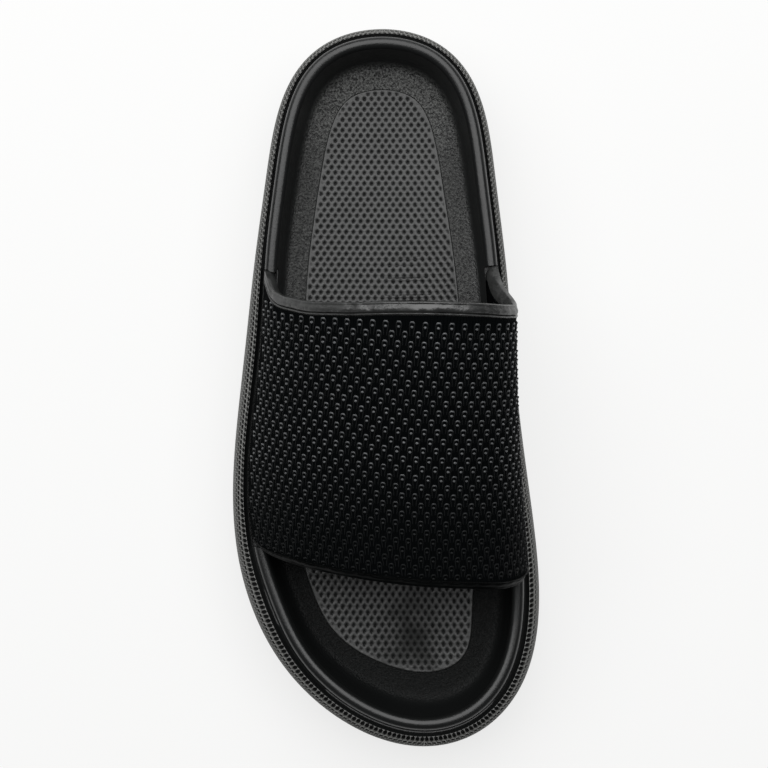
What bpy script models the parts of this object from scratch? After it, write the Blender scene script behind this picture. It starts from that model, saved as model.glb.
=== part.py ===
"""Sport slide sandal, right shoe: moulded sole, insole panel, arched strap and its two edge trims.

Metres, +Z up. The toes point to -Y and the big toe side is +X. The origin lies on the floor under
the middle of the sole.
"""
import math

import bmesh
import bpy
import numpy as np

# Sizes of the sole, each its own
SOLE_LENGTH = 0.270
SOLE_WIDTH = 0.117
RIM_HEIGHT = 0.045
BED_HEIGHT = 0.030
TOE_SPRING = 0.011
HEEL_SPRING = 0.004
WAIST_RISE = 0.0022
ARCH_LIFT = 0.0065
BED_DISH = 0.0022
TREAD_INSET = 0.0065
RIM_INSET = 0.010
BEAD_WIDTH = 0.0048
PANEL_INSET = 0.022

# Tread grooves
GROOVE_WIDTH = 0.004
GROOVE_DEPTH = 0.002
GROOVE_PITCH = 0.0135
GROOVE_BOW = 0.006
GROOVE_END_WALL = 0.013

# Insole panel
INSOLE_THICKNESS = 0.0022
INSOLE_PROUD = 0.0003
INSOLE_ROUND = 0.0008

# Strap and its trims
STRAP_REAR = 0.029
STRAP_LENGTH = 0.099
STRAP_RISE_REAR = 0.0435
STRAP_RISE_FRONT = 0.034
STRAP_WALL = 0.0030
STRAP_FOOT_WALL = 0.0044
SEAT_DEPTH = 0.008
TRIM_REAR_WIDTH = 0.0050
TRIM_FRONT_WIDTH = 0.0030
TRIM_PROUD = 0.0004

# Clearance between neighbours
FIT = 0.0003

# Places along the sole, as shares of its length from the middle, heel side positive
TOE_SPRING_FROM = -0.30
HEEL_SPRING_FROM = 0.41
WAIST_MIDDLE = 0.07
WAIST_REACH = 0.13
ARCH_MIDDLE = 0.15
ARCH_REACH = 0.24
FOREFOOT_GROOVES = (-0.375, -0.02)
HEEL_GROOVES = (0.165, 0.405)

# Places across the sole, as shares of its half width
ARCH_FROM = 0.05
ARCH_TO = 0.60
BED_FLAT = 0.55

ARCH_CREST = 1.3

# Width of a groove's floor as a share of its mouth
GROOVE_FLOOR = 0.7

# Shares of the strap's arch: how far the rim's pockets reach up it, how far its thicker feet do,
# and where a trim stands proud
POCKET_REACH = 0.12
FOOT_REACH = 0.14
TRIM_PROUD_FROM = 0.06

# Mesh density
OUTLINE_SAMPLES = 720
OUTLINE_WAVES = 11
STATIONS_A_SIDE = 46
FILL_COLUMNS = 8
STRAP_COLUMNS = 34
STRAP_ROWS = 13
ROOT_ROWS = 2
NORMAL_STEP = 0.004
POCKET_COLUMNS = 8
POCKET_ROWS = 16
GROOVE_STEPS = 8

# Outline of the sole at its widest level, heel to toe.
# along is a share of SOLE_LENGTH, lateral and medial are shares of SOLE_WIDTH.
OUTLINE = [
    # name, along, lateral, medial
    ("heel tip", 0.500, -0.004, -0.004),
    ("heel round", 0.478, -0.212, 0.186),
    ("heel corner", 0.433, -0.307, 0.278),
    ("heel seat", 0.376, -0.356, 0.326),
    ("heel breast", 0.292, -0.391, 0.356),
    ("rear waist", 0.208, -0.418, 0.381),
    ("waist", 0.096, -0.448, 0.405),
    ("fore waist", -0.017, -0.477, 0.428),
    ("ball", -0.129, -0.499, 0.462),
    ("small toe joint", -0.213, -0.491, 0.487),
    ("big toe joint", -0.298, -0.447, 0.499),
    ("small toe", -0.368, -0.371, 0.482),
    ("toe corner", -0.424, -0.265, 0.431),
    ("toe round", -0.466, -0.137, 0.346),
    ("toe nose", -0.489, -0.022, 0.254),
    ("toe tip", -0.500, 0.120, 0.120),
]

# Rim bead, insole border and heights round the sole, heel to toe.
# bead columns are shares of RIM_INSET, panel columns of PANEL_INSET, rim columns of RIM_HEIGHT
# and bed is a share of BED_HEIGHT.
RIM = [
    # name, along, bead lateral, bead medial, panel lateral, panel medial, rim lateral, rim medial, bed
    ("heel tip", 0.500, 0.86, 0.86, 1.05, 1.05, 1.000, 1.000, 1.01),
    ("heel seat", 0.376, 0.77, 0.74, 0.97, 0.97, 0.985, 0.985, 0.97),
    ("rear waist", 0.208, 0.77, 0.71, 0.94, 0.91, 0.945, 0.950, 0.96),
    ("waist", 0.060, 0.96, 0.74, 1.00, 0.90, 0.905, 0.930, 0.95),
    ("ball", -0.103, 0.97, 0.82, 1.05, 0.98, 0.850, 0.890, 0.82),
    ("small toe joint", -0.210, 1.06, 0.90, 1.11, 1.09, 0.835, 0.865, 0.77),
    ("big toe joint", -0.305, 1.20, 0.99, 1.11, 1.17, 0.845, 0.855, 0.79),
    ("toe corner", -0.410, 1.13, 1.08, 1.09, 1.14, 0.890, 0.890, 0.87),
    ("toe tip", -0.500, 1.13, 1.13, 1.26, 1.26, 0.935, 0.935, 0.98),
]

# Outer side of the sole from the tread up to the widest level.
# inset is a share of TREAD_INSET, up is a share of the local side height.
LOWER_SIDE = [
    # name, inset, up
    ("tread edge", 1.00, 0.00),
    ("tread round", 0.50, 0.035),
    ("lower wall", 0.16, 0.15),
]

# Outer side from the widest level up to the bead.
# inset is a share of the way from the outline to the bead's outer side.
UPPER_SIDE = [
    # name, inset, up
    ("bulge", 0.00, 0.38),
    ("upper wall", 0.10, 0.60),
    ("shoulder turn", 0.37, 0.785),
    ("shoulder", 0.66, 0.870),
    ("ledge", 0.76, 0.860),
    ("bead foot", 1.00, 0.885),
]

# Round top of the bead, as angles from its inner side.
BEAD_ANGLES = (180, 135, 90, 45, 0)

# Section of a trim, from its joint with the strap round the outer face and the free edge.
# in is a share of the trim's width from the free edge, deep of the strap's wall, proud of TRIM_PROUD.
TRIM_SECTION = [
    # name, in, deep, proud
    ("inner joint", 1.00, 1.00, 0.0),
    ("outer joint", 1.00, 0.00, 0.0),
    ("step", 0.82, 0.00, 1.0),
    ("face", 0.30, 0.00, 1.0),
    ("outer round", 0.07, 0.07, 0.0),
    ("free edge", 0.00, 0.20, 0.0),
    ("inner round", 0.09, 0.36, 0.0),
    ("inner slope", 0.50, 0.78, 0.0),
]

# Bowl of the footbed from the bead down to the insole's border.
# inset is a share of the way from the bead to the border, down is a share of the bowl's depth.
BOWL = [
    # name, inset, down
    ("brow", 0.07, 0.28),
    ("wall", 0.19, 0.62),
    ("foot of wall", 0.38, 0.89),
    ("surround", 0.68, 0.985),
]

# Arch of the strap's outer face, from the lateral rim over the top to the medial rim.
# across is a share of half the span between the feet, rise of STRAP_RISE_REAR or STRAP_RISE_FRONT,
# back is a share of STRAP_LENGTH, towards the heel from the edge's own line.
STRAP_ARCH = [
    # name, rear across, rear rise, rear back, front across, front rise, front back
    ("lateral foot", -1.000, 0.000, 0.145, -1.000, 0.000, 0.115),
    ("lateral wall", -0.930, 0.150, 0.080, -0.920, 0.150, 0.090),
    ("lateral haunch", -0.700, 0.450, 0.028, -0.740, 0.440, 0.066),
    ("lateral slope", -0.330, 0.745, 0.010, -0.460, 0.725, 0.041),
    ("crown", 0.060, 0.925, 0.009, -0.140, 0.920, 0.021),
    ("crest", 0.420, 1.000, 0.007, 0.190, 1.000, 0.006),
    ("medial shoulder", 0.800, 0.885, 0.003, 0.560, 0.905, -0.006),
    ("medial haunch", 1.030, 0.670, 0.002, 0.820, 0.720, -0.013),
    ("medial wall", 1.095, 0.400, 0.020, 0.970, 0.420, -0.004),
    ("medial hip", 1.015, 0.130, 0.100, 1.015, 0.190, 0.014),
    ("medial foot", 1.000, 0.000, 0.160, 1.000, 0.000, 0.035),
]


def column(table, index):
    """One column of a table as an array."""
    return np.array([row[index] for row in table], dtype=float)


def smooth_through(at, xs, ys):
    """A smooth curve through the points xs, ys, read at the places in at."""
    xs = np.asarray(xs, dtype=float)
    ys = np.asarray(ys, dtype=float)
    slope = np.gradient(ys, xs)
    at = np.clip(at, xs[0], xs[-1])
    span = np.clip(np.searchsorted(xs, at, side="right") - 1, 0, len(xs) - 2)
    width = xs[span + 1] - xs[span]
    t = (at - xs[span]) / width
    start = (1 + 2 * t) * (1 - t) ** 2 * ys[span] + t * (1 - t) ** 2 * width * slope[span]
    end = t * t * (3 - 2 * t) * ys[span + 1] - t * t * (1 - t) * width * slope[span + 1]
    return start + end


def evenly_spaced(points, count):
    """The open polyline points read at count places, equal steps of length apart."""
    steps = np.linalg.norm(np.diff(points, axis=0), axis=1)
    reach = np.concatenate(([0.0], np.cumsum(steps)))
    at = np.linspace(0.0, reach[-1], count)
    return np.column_stack([np.interp(at, reach, points[:, k]) for k in range(points.shape[1])])


def faired_outline():
    """The sole's outline as a closed smooth curve, from the heel tip round by the lateral side."""
    along = column(OUTLINE, 1) * SOLE_LENGTH
    lateral = np.column_stack([column(OUTLINE, 2) * SOLE_WIDTH, along])
    medial = np.column_stack([column(OUTLINE, 3) * SOLE_WIDTH, along])
    loop = np.vstack([lateral, medial[-2:0:-1], lateral[:1]])
    steps = np.linalg.norm(np.diff(loop, axis=0), axis=1)
    reach = np.concatenate(([0.0], np.cumsum(steps)))
    wrapped_reach = np.concatenate([reach[-4:-1] - reach[-1], reach, reach[-1] + reach[1:4]])
    wrapped = np.vstack([loop[-4:-1], loop, loop[1:4]])
    at = np.linspace(0.0, reach[-1], OUTLINE_SAMPLES, endpoint=False)
    x = smooth_through(at, wrapped_reach, wrapped[:, 0])
    y = smooth_through(at, wrapped_reach, wrapped[:, 1])
    waves = np.fft.fft(x + 1j * y)
    waves[OUTLINE_WAVES + 1:-OUTLINE_WAVES] = 0
    curve = np.fft.ifft(waves)
    x, y = curve.real, curve.imag
    x = (x - (x.max() + x.min()) / 2) * SOLE_WIDTH / (x.max() - x.min())
    y = (y - (y.max() + y.min()) / 2) * SOLE_LENGTH / (y.max() - y.min())
    start = int(np.argmax(y))
    return np.roll(np.column_stack([x, y]), -start, axis=0)


def stations():
    """Places round the outline, paired across the sole: heel tip, lateral side, toe tip, medial side."""
    curve = faired_outline()
    toe = int(np.argmin(curve[:, 1]))
    lateral = evenly_spaced(curve[:toe + 1], STATIONS_A_SIDE + 1)
    medial = evenly_spaced(np.vstack([curve[toe:], curve[:1]]), STATIONS_A_SIDE + 1)
    return np.vstack([lateral, medial[1:-1]])


OUTLINE_POINTS = stations()
COUNT = len(OUTLINE_POINTS)


def inward_directions(points):
    """Unit vectors that point into a closed loop of places."""
    tangent = np.roll(points, -1, axis=0) - np.roll(points, 1, axis=0)
    inward = np.column_stack([-tangent[:, 1], tangent[:, 0]])
    inward /= np.linalg.norm(inward, axis=1)[:, None]
    towards_middle = np.sum(inward * (points.mean(axis=0) - points))
    return inward if towards_middle > 0 else -inward


INWARD = inward_directions(OUTLINE_POINTS)
RIM_ALONG = column(RIM, 1)


def round_the_sole(lateral_index, medial_index):
    """Two columns of RIM read at each station, blended across the two tips."""
    along = RIM_ALONG[::-1]
    share = OUTLINE_POINTS[:, 1] / SOLE_LENGTH
    lateral = smooth_through(share, along, column(RIM, lateral_index)[::-1])
    medial = smooth_through(share, along, column(RIM, medial_index)[::-1])
    side = np.arange(COUNT)
    return np.where(side <= STATIONS_A_SIDE, lateral, medial)


BEAD_AT = round_the_sole(2, 3) * RIM_INSET
PANEL_AT = round_the_sole(4, 5) * PANEL_INSET
RIM_AT = round_the_sole(6, 7) * RIM_HEIGHT


def tread_height(y):
    """Height of the tread over the floor: flat at heel and forefoot, raised at toe, waist and heel."""
    share = np.asarray(y) / SOLE_LENGTH
    toe = np.clip((TOE_SPRING_FROM - share) / (TOE_SPRING_FROM + 0.5), 0, None) ** 2 * TOE_SPRING
    heel = np.clip((share - HEEL_SPRING_FROM) / (0.5 - HEEL_SPRING_FROM), 0, None) ** 2 * HEEL_SPRING
    waist = np.clip(1 - ((share - WAIST_MIDDLE) / WAIST_REACH) ** 2, 0, None) ** 2 * WAIST_RISE
    return toe + heel + waist


def bed_height(x, y):
    """Height of the footbed: a dish that drops from heel to ball, with the arch on the medial side."""
    share = np.asarray(y) / SOLE_LENGTH
    base = smooth_through(share, RIM_ALONG[::-1], column(RIM, 8)[::-1]) * BED_HEIGHT
    across = np.asarray(x) / (SOLE_WIDTH / 2)
    arch_run = np.clip(1 - ((share - ARCH_MIDDLE) / ARCH_REACH) ** 2, 0, None) ** 2
    arch_side = np.clip((across - ARCH_FROM) / (ARCH_TO - ARCH_FROM), 0, ARCH_CREST) ** 2
    return base + ARCH_LIFT * arch_run * arch_side + BED_DISH * (across / BED_FLAT) ** 2


def ring(inset, height):
    """A loop of points at a distance inside the outline, at the given heights."""
    place = OUTLINE_POINTS + INWARD * np.broadcast_to(inset, COUNT)[:, None]
    return np.column_stack([place, np.broadcast_to(height, COUNT)])


def on_bed(inset, lift):
    """A loop on the footbed's surface, lifted by a height."""
    loop = ring(inset, 0.0)
    loop[:, 2] = bed_height(loop[:, 0], loop[:, 1]) + lift
    return loop


class Shell:
    """Collects rings, grids and caps into one closed mesh."""

    def __init__(self):
        self.points = []
        self.faces = []

    def add(self, points):
        """Add points and return their numbers."""
        first = len(self.points)
        self.points.extend([tuple(map(float, p)) for p in points])
        return list(range(first, first + len(points)))

    def band(self, one, two):
        """Join two closed loops of equal count."""
        count = len(one)
        for i in range(count):
            j = (i + 1) % count
            self.faces.append((one[i], one[j], two[j], two[i]))

    def strip(self, one, two):
        """Join two open rows of equal count."""
        for i in range(len(one) - 1):
            self.faces.append((one[i], one[i + 1], two[i + 1], two[i]))

    def fill(self, loop, height_of):
        """Close a loop that pairs its two sides with a grid that follows height_of(x, y)."""
        rows = []
        half = len(loop) // 2
        for i in range(1, half):
            left = np.array(self.points[loop[i]])
            right = np.array(self.points[loop[-i]])
            inner = [left + (right - left) * k / FILL_COLUMNS for k in range(1, FILL_COLUMNS)]
            inner = [(p[0], p[1], float(height_of(p[0], p[1]))) for p in inner]
            rows.append([loop[i]] + self.add(inner) + [loop[-i]])
        for one, two in zip(rows, rows[1:]):
            self.strip(one, two)
        for tip, row in ((loop[0], rows[0]), (loop[half], rows[-1])):
            for i in range(FILL_COLUMNS):
                self.faces.append((tip, row[i], row[i + 1]))

    def object(self, name, material):
        """The closed mesh as an object with its faces pointing outwards."""
        mesh = bpy.data.meshes.new(name)
        mesh.from_pydata(self.points, [], self.faces)
        form = bmesh.new()
        form.from_mesh(mesh)
        bmesh.ops.recalc_face_normals(form, faces=form.faces)
        if form.calc_volume(signed=True) < 0:
            bmesh.ops.reverse_faces(form, faces=form.faces)
        form.to_mesh(mesh)
        form.free()
        mesh.shade_smooth()
        mesh.set_sharp_from_angle(angle=math.radians(40))
        if material is not None:
            mesh.materials.append(material)
        obj = bpy.data.objects.new(name, mesh)
        bpy.context.scene.collection.objects.link(obj)
        return obj


def plain_material(name, colour, roughness):
    """A Principled material with one colour and roughness."""
    material = bpy.data.materials.new(name)
    material.use_nodes = True
    shader = material.node_tree.nodes["Principled BSDF"]
    shader.inputs["Base Color"].default_value = (*colour, 1.0)
    shader.inputs["Roughness"].default_value = roughness
    shader.inputs["Metallic"].default_value = 0.0
    material.diffuse_color = (*colour, 1.0)
    return material


def sole_rings():
    """Rings of the sole from the tread's edge up the side, over the bead and down to the insole's seat."""
    bottom = tread_height(OUTLINE_POINTS[:, 1])
    side = RIM_AT - bottom
    bead_outer = BEAD_AT - BEAD_WIDTH / 2
    bead_inner = BEAD_AT + BEAD_WIDTH / 2
    rings = []
    for _, inset, up in LOWER_SIDE:
        rings.append(ring(inset * TREAD_INSET, bottom + up * side))
    for _, inset, up in UPPER_SIDE:
        rings.append(ring(inset * bead_outer, bottom + up * side))
    for angle in BEAD_ANGLES:
        turn = math.radians(angle)
        inset = BEAD_AT + math.cos(turn) * BEAD_WIDTH / 2
        rings.append(ring(inset, RIM_AT + (math.sin(turn) - 1) * BEAD_WIDTH / 2))
    lip = on_bed(PANEL_AT, 0.0)
    edge = RIM_AT - BEAD_WIDTH / 2
    for _, inset, down in BOWL:
        rings.append(ring(bead_inner + inset * (PANEL_AT - bead_inner), edge + down * (lip[:, 2] - edge)))
    rings.append(lip)
    seat = INSOLE_THICKNESS - INSOLE_PROUD + FIT
    rings.append(on_bed(PANEL_AT, -seat))
    return rings, seat


def make_sole(material):
    """The moulded unit: tread, side, bead, bowl and the seat of the insole."""
    shell = Shell()
    rings, seat = sole_rings()
    loops = [shell.add(points) for points in rings]
    for one, two in zip(loops, loops[1:]):
        shell.band(one, two)
    shell.fill(loops[0], lambda x, y: tread_height(y))
    shell.fill(loops[-1], lambda x, y: bed_height(x, y) - seat)
    return shell.object("sole", material)


def make_insole(material):
    """The thin panel that lies in the seat, its upper edge rounded."""
    shell = Shell()
    inset = PANEL_AT + FIT
    under = on_bed(inset, INSOLE_PROUD - INSOLE_THICKNESS)
    side = on_bed(inset, INSOLE_PROUD - INSOLE_ROUND)
    top = on_bed(inset + INSOLE_ROUND, INSOLE_PROUD)
    loops = [shell.add(points) for points in (under, side, top)]
    shell.band(loops[0], loops[1])
    shell.band(loops[1], loops[2])
    shell.fill(loops[0], lambda x, y: bed_height(x, y) + INSOLE_PROUD - INSOLE_THICKNESS)
    shell.fill(loops[2], lambda x, y: bed_height(x, y) + INSOLE_PROUD)
    return shell.object("insole", material)


def bead_line(side):
    """The bead's middle on one side of the sole, as y rising, x and rim height."""
    middle = ring(BEAD_AT, RIM_AT)
    if side == "lateral":
        part = middle[:STATIONS_A_SIDE + 1]
    else:
        part = np.vstack([middle[STATIONS_A_SIDE:], middle[:1]])
    order = np.argsort(part[:, 1])
    return part[order, 1], part[order, 0], part[order, 2]


LATERAL_LINE = bead_line("lateral")
MEDIAL_LINE = bead_line("medial")


def strap_columns():
    """Share of the arch and drop below the rim for each column of the strap, from foot to foot."""
    arch = np.linspace(0.0, 1.0, STRAP_COLUMNS + 1)
    root = [SEAT_DEPTH * (ROOT_ROWS - k) / ROOT_ROWS for k in range(ROOT_ROWS)]
    lateral = [(0.0, drop) for drop in root]
    medial = [(1.0, drop) for drop in reversed(root)]
    return lateral + [(u, 0.0) for u in arch] + medial


def arch_places():
    """Shares of arch length at which the named places of STRAP_ARCH lie."""
    half_span = SOLE_WIDTH / 2 - RIM_INSET
    across = (column(STRAP_ARCH, 1) + column(STRAP_ARCH, 4)) / 2 * half_span
    rise = (column(STRAP_ARCH, 2) * STRAP_RISE_REAR + column(STRAP_ARCH, 5) * STRAP_RISE_FRONT) / 2
    steps = np.hypot(np.diff(across), np.diff(rise))
    reach = np.concatenate(([0.0], np.cumsum(steps)))
    return reach / reach[-1]


ARCH_PLACES = arch_places()


def strap_edge(u, rear):
    """The y of the strap's rear or front edge at share u of the arch."""
    if rear:
        return STRAP_REAR + smooth_through(u, ARCH_PLACES, column(STRAP_ARCH, 3)) * STRAP_LENGTH
    line = STRAP_REAR - STRAP_LENGTH
    return line + smooth_through(u, ARCH_PLACES, column(STRAP_ARCH, 6)) * STRAP_LENGTH


def strap_place(u, drop, v):
    """A point of the strap's outer face: u over the arch, drop below the rim, v from rear to front."""
    rear_y = strap_edge(u, True)
    front_y = strap_edge(u, False)
    y = rear_y + (front_y - rear_y) * v
    lateral = np.interp(y, LATERAL_LINE[0], LATERAL_LINE[1]) - STRAP_FOOT_WALL / 2
    medial = np.interp(y, MEDIAL_LINE[0], MEDIAL_LINE[1]) + STRAP_FOOT_WALL / 2
    across = smooth_through(u, ARCH_PLACES, column(STRAP_ARCH, 1)) * (1 - v)
    across = across + smooth_through(u, ARCH_PLACES, column(STRAP_ARCH, 4)) * v
    rise = smooth_through(u, ARCH_PLACES, column(STRAP_ARCH, 2)) * STRAP_RISE_REAR * (1 - v)
    rise = rise + smooth_through(u, ARCH_PLACES, column(STRAP_ARCH, 5)) * STRAP_RISE_FRONT * v
    share = np.clip((across + 1) / 2, 0, 1)
    rim = np.interp(y, LATERAL_LINE[0], LATERAL_LINE[2]) * (1 - share)
    rim = rim + np.interp(y, MEDIAL_LINE[0], MEDIAL_LINE[2]) * share
    x = (lateral + medial) / 2 + across * (medial - lateral) / 2
    return np.array([x, y, rim + rise - drop])


def strap_out(u, drop, v):
    """Unit vector out of the strap's face, worked out from nearby points."""
    if drop > 0:
        lean = strap_out(u, 0.0, v)
        flat = np.array([lean[0], lean[1], 0.0])
        return flat / np.linalg.norm(flat)
    near = NORMAL_STEP
    low, high = max(u - near, 0.0), min(u + near, 1.0)
    over = strap_place(high, 0.0, v) - strap_place(low, 0.0, v)
    along = strap_place(u, 0.0, v + near) - strap_place(u, 0.0, v - near)
    out = np.cross(along, over)
    out = out / np.linalg.norm(out)
    middle = np.array([0.0, strap_place(u, 0.0, v)[1], BED_HEIGHT])
    return out if np.dot(out, strap_place(u, 0.0, v) - middle) > 0 else -out


def strap_length_at(u):
    """Distance between the strap's two edges at share u of the arch."""
    return strap_edge(u, True) - strap_edge(u, False)


def wall_at(u):
    """Thickness of the strap's wall at share u of the arch: it grows towards both feet."""
    near_foot = np.clip(1 - np.minimum(u, 1 - u) / FOOT_REACH, 0.0, 1.0)
    return STRAP_WALL + (STRAP_FOOT_WALL - STRAP_WALL) * near_foot ** 2 * (3 - 2 * near_foot)


def strap_point(u, drop, distance, depth, from_rear=True):
    """A point a distance in from the rear or front edge and a depth under the outer face."""
    v = distance / strap_length_at(u) if from_rear else 1 - distance / strap_length_at(u)
    return strap_place(u, drop, v) - strap_out(u, drop, np.clip(v, 0.0, 1.0)) * depth


def make_strap(material):
    """The arched band between its two trims, a hollow wall that stands in the rim's pockets."""
    shell = Shell()
    columns = strap_columns()
    outer = []
    inner = []
    for row in range(STRAP_ROWS + 1):
        share = row / STRAP_ROWS
        faces = ([], [])
        for u, drop in columns:
            first = TRIM_REAR_WIDTH + FIT
            last = strap_length_at(u) - TRIM_FRONT_WIDTH - FIT
            distance = first + (last - first) * share
            for points, depth in zip(faces, (0.0, wall_at(u))):
                points.append(strap_point(u, drop, distance, depth))
        outer.append(shell.add(faces[0]))
        inner.append(shell.add(faces[1]))
    for one, two in zip(outer, outer[1:]):
        shell.strip(one, two)
    for one, two in zip(inner, inner[1:]):
        shell.strip(one, two)
    shell.strip(outer[0], inner[0])
    shell.strip(outer[-1], inner[-1])
    for end in (0, -1):
        shell.strip([row[end] for row in outer], [row[end] for row in inner])
    return shell.object("strap", material)


def make_trim(name, width, from_rear, material):
    """The smooth band along one edge of the strap, a little proud and rounded at the free edge."""
    shell = Shell()
    loops = []
    for u, drop in strap_columns():
        above_rim = np.clip(min(u, 1 - u) / TRIM_PROUD_FROM, 0, 1)
        points = []
        for _, inward, deep, proud in TRIM_SECTION:
            depth = deep * wall_at(u) - proud * TRIM_PROUD * above_rim
            points.append(strap_point(u, drop, inward * width, depth, from_rear))
        loops.append(shell.add(points))
    for one, two in zip(loops, loops[1:]):
        shell.band(one, two)
    shell.faces.append(tuple(loops[0]))
    shell.faces.append(tuple(loops[-1]))
    return shell.object(name, material)


def pocket_cutter(name, u_from, u_to):
    """The room that one foot of the strap takes out of the rim, with the clearance all round."""
    shell = Shell()
    above = [(u_to + (u_from - u_to) * k / POCKET_COLUMNS, 0.0) for k in range(POCKET_COLUMNS + 1)]
    below = [(u_from, (SEAT_DEPTH + FIT) * k / ROOT_ROWS) for k in range(1, ROOT_ROWS + 1)]
    outer = []
    inner = []
    for u, drop in above + below:
        length = strap_length_at(u)
        step = (length + 2 * FIT) / POCKET_ROWS
        distances = [-FIT + step * k for k in range(POCKET_ROWS + 1)]
        outer.append(shell.add([strap_point(u, drop, d, -FIT - TRIM_PROUD) for d in distances]))
        inner.append(shell.add([strap_point(u, drop, d, wall_at(u) + FIT) for d in distances]))
    for one, two in zip(outer, outer[1:]):
        shell.strip(one, two)
    for one, two in zip(inner, inner[1:]):
        shell.strip(one, two)
    for end in (0, -1):
        shell.strip(outer[end], inner[end])
        shell.strip([row[end] for row in outer], [row[end] for row in inner])
    return as_cutter(shell.object(name, None))


def groove_cutter(name, y):
    """One bowed groove across the tread, which ends inside the tread's edge."""
    shell = Shell()
    inside = ring(TREAD_INSET, 0.0)
    lateral = inside[:STATIONS_A_SIDE + 1]
    medial = np.vstack([inside[STATIONS_A_SIDE:], inside[:1]])[::-1]
    left = np.interp(y, lateral[::-1, 1], lateral[::-1, 0]) + GROOVE_END_WALL
    right = np.interp(y, medial[::-1, 1], medial[::-1, 0]) - GROOVE_END_WALL
    loops = []
    for k in range(GROOVE_STEPS + 1):
        share = k / GROOVE_STEPS
        x = left + (right - left) * share
        middle = y + GROOVE_BOW * (1 - (2 * share - 1) ** 2)
        top = float(tread_height(middle)) + GROOVE_DEPTH
        low = -GROOVE_DEPTH
        mouth = GROOVE_WIDTH / 2
        floor = mouth * GROOVE_FLOOR
        loops.append(shell.add([(x, middle - mouth, low), (x, middle + mouth, low),
                                (x, middle + floor, top), (x, middle - floor, top)]))
    for one, two in zip(loops, loops[1:]):
        shell.band(one, two)
    shell.faces.append(tuple(loops[0]))
    shell.faces.append(tuple(loops[-1]))
    return as_cutter(shell.object(name, None))


def as_cutter(obj):
    """Mark an object as a cutter, which isn't part of the shoe."""
    obj.hide_render = True
    obj.display_type = "WIRE"
    return obj


def cut(obj, cutter):
    """Take a cutter's form out of an object."""
    modifier = obj.modifiers.new(cutter.name, "BOOLEAN")
    modifier.operation = "DIFFERENCE"
    modifier.solver = "EXACT"
    modifier.object = cutter


def groove_places():
    """The y of each tread groove: a run under the forefoot and a run under the heel."""
    places = []
    for low, high in (FOREFOOT_GROOVES, HEEL_GROOVES):
        count = int((high - low) * SOLE_LENGTH / GROOVE_PITCH)
        middle = (low + high) / 2 * SOLE_LENGTH
        places += [middle + (k - count / 2) * GROOVE_PITCH for k in range(count + 1)]
    return places


def main():
    """Build the shoe in an emptied scene."""
    for obj in list(bpy.data.objects):
        bpy.data.objects.remove(obj, do_unlink=True)
    foam = plain_material("sole_foam", (0.030, 0.031, 0.031), 0.55)
    panel = plain_material("insole_foam", (0.040, 0.041, 0.041), 0.65)
    knit = plain_material("strap_knit", (0.010, 0.011, 0.012), 0.60)
    trim = plain_material("trim_smooth", (0.030, 0.031, 0.031), 0.38)
    sole = make_sole(foam)
    make_insole(panel)
    make_strap(knit)
    make_trim("strap_trim_rear", TRIM_REAR_WIDTH, True, trim)
    make_trim("strap_trim_front", TRIM_FRONT_WIDTH, False, trim)
    cut(sole, pocket_cutter("pocket_lateral", 0.0, POCKET_REACH))
    cut(sole, pocket_cutter("pocket_medial", 1.0, 1 - POCKET_REACH))
    for number, y in enumerate(groove_places()):
        cut(sole, groove_cutter(f"groove_{number}", y))


main()
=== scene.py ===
"""Sport slide sandal, right shoe: looks of the sole, the insole panel, the strap and its trims.

Metres, +Z up. The toes point to -Y and the big toe side is +X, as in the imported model.
"""

import math

import bmesh
import bpy
import numpy as np
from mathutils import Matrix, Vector
from mathutils.kdtree import KDTree


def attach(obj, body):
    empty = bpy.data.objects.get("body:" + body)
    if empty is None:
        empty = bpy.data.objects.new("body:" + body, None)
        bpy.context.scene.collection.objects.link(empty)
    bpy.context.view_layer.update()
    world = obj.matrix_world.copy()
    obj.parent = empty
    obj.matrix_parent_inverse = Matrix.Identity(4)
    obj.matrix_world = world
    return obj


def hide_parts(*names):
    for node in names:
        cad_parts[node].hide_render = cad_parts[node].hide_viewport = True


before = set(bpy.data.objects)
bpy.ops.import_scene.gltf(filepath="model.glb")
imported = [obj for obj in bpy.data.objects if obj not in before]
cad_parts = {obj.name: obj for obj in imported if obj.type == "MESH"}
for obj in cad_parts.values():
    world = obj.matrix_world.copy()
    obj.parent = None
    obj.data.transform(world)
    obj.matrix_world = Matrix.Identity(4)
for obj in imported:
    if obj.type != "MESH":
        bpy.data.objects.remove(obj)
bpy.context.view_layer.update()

MM = 0.001

# Sizes of the sole
SOLE_LENGTH = 0.270
SOLE_WIDTH = 0.117
RIM_HEIGHT = 0.045
BED_HEIGHT = 0.030
TOE_SPRING = 0.011
HEEL_SPRING = 0.004
WAIST_RISE = 0.0022
ARCH_LIFT = 0.0065
BED_DISH = 0.0022
TREAD_INSET = 0.0065
RIM_INSET = 0.010
BEAD_WIDTH = 0.0048
PANEL_INSET = 0.022

# Tread grooves
GROOVE_WIDTH = 0.004
GROOVE_DEPTH = 0.002
GROOVE_PITCH = 0.0135
GROOVE_BOW = 0.006
GROOVE_END_WALL = 0.013
GROOVE_FLOOR = 0.7

# Insole panel
INSOLE_THICKNESS = 0.0022
INSOLE_PROUD = 0.0003
INSOLE_ROUND = 0.0004
PANEL_GAP = 0.00007

# Strap and its trims
STRAP_REAR = 0.029
STRAP_LENGTH = 0.099
STRAP_RISE_REAR = 0.0435
STRAP_RISE_FRONT = 0.034
STRAP_WALL = 0.0030
STRAP_FOOT_WALL = 0.0044
SEAT_DEPTH = 0.008
TRIM_REAR_WIDTH = 0.0050
TRIM_FRONT_WIDTH = 0.0030
FIT = 0.0003
SHADOW_GAP = 0.0009

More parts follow.
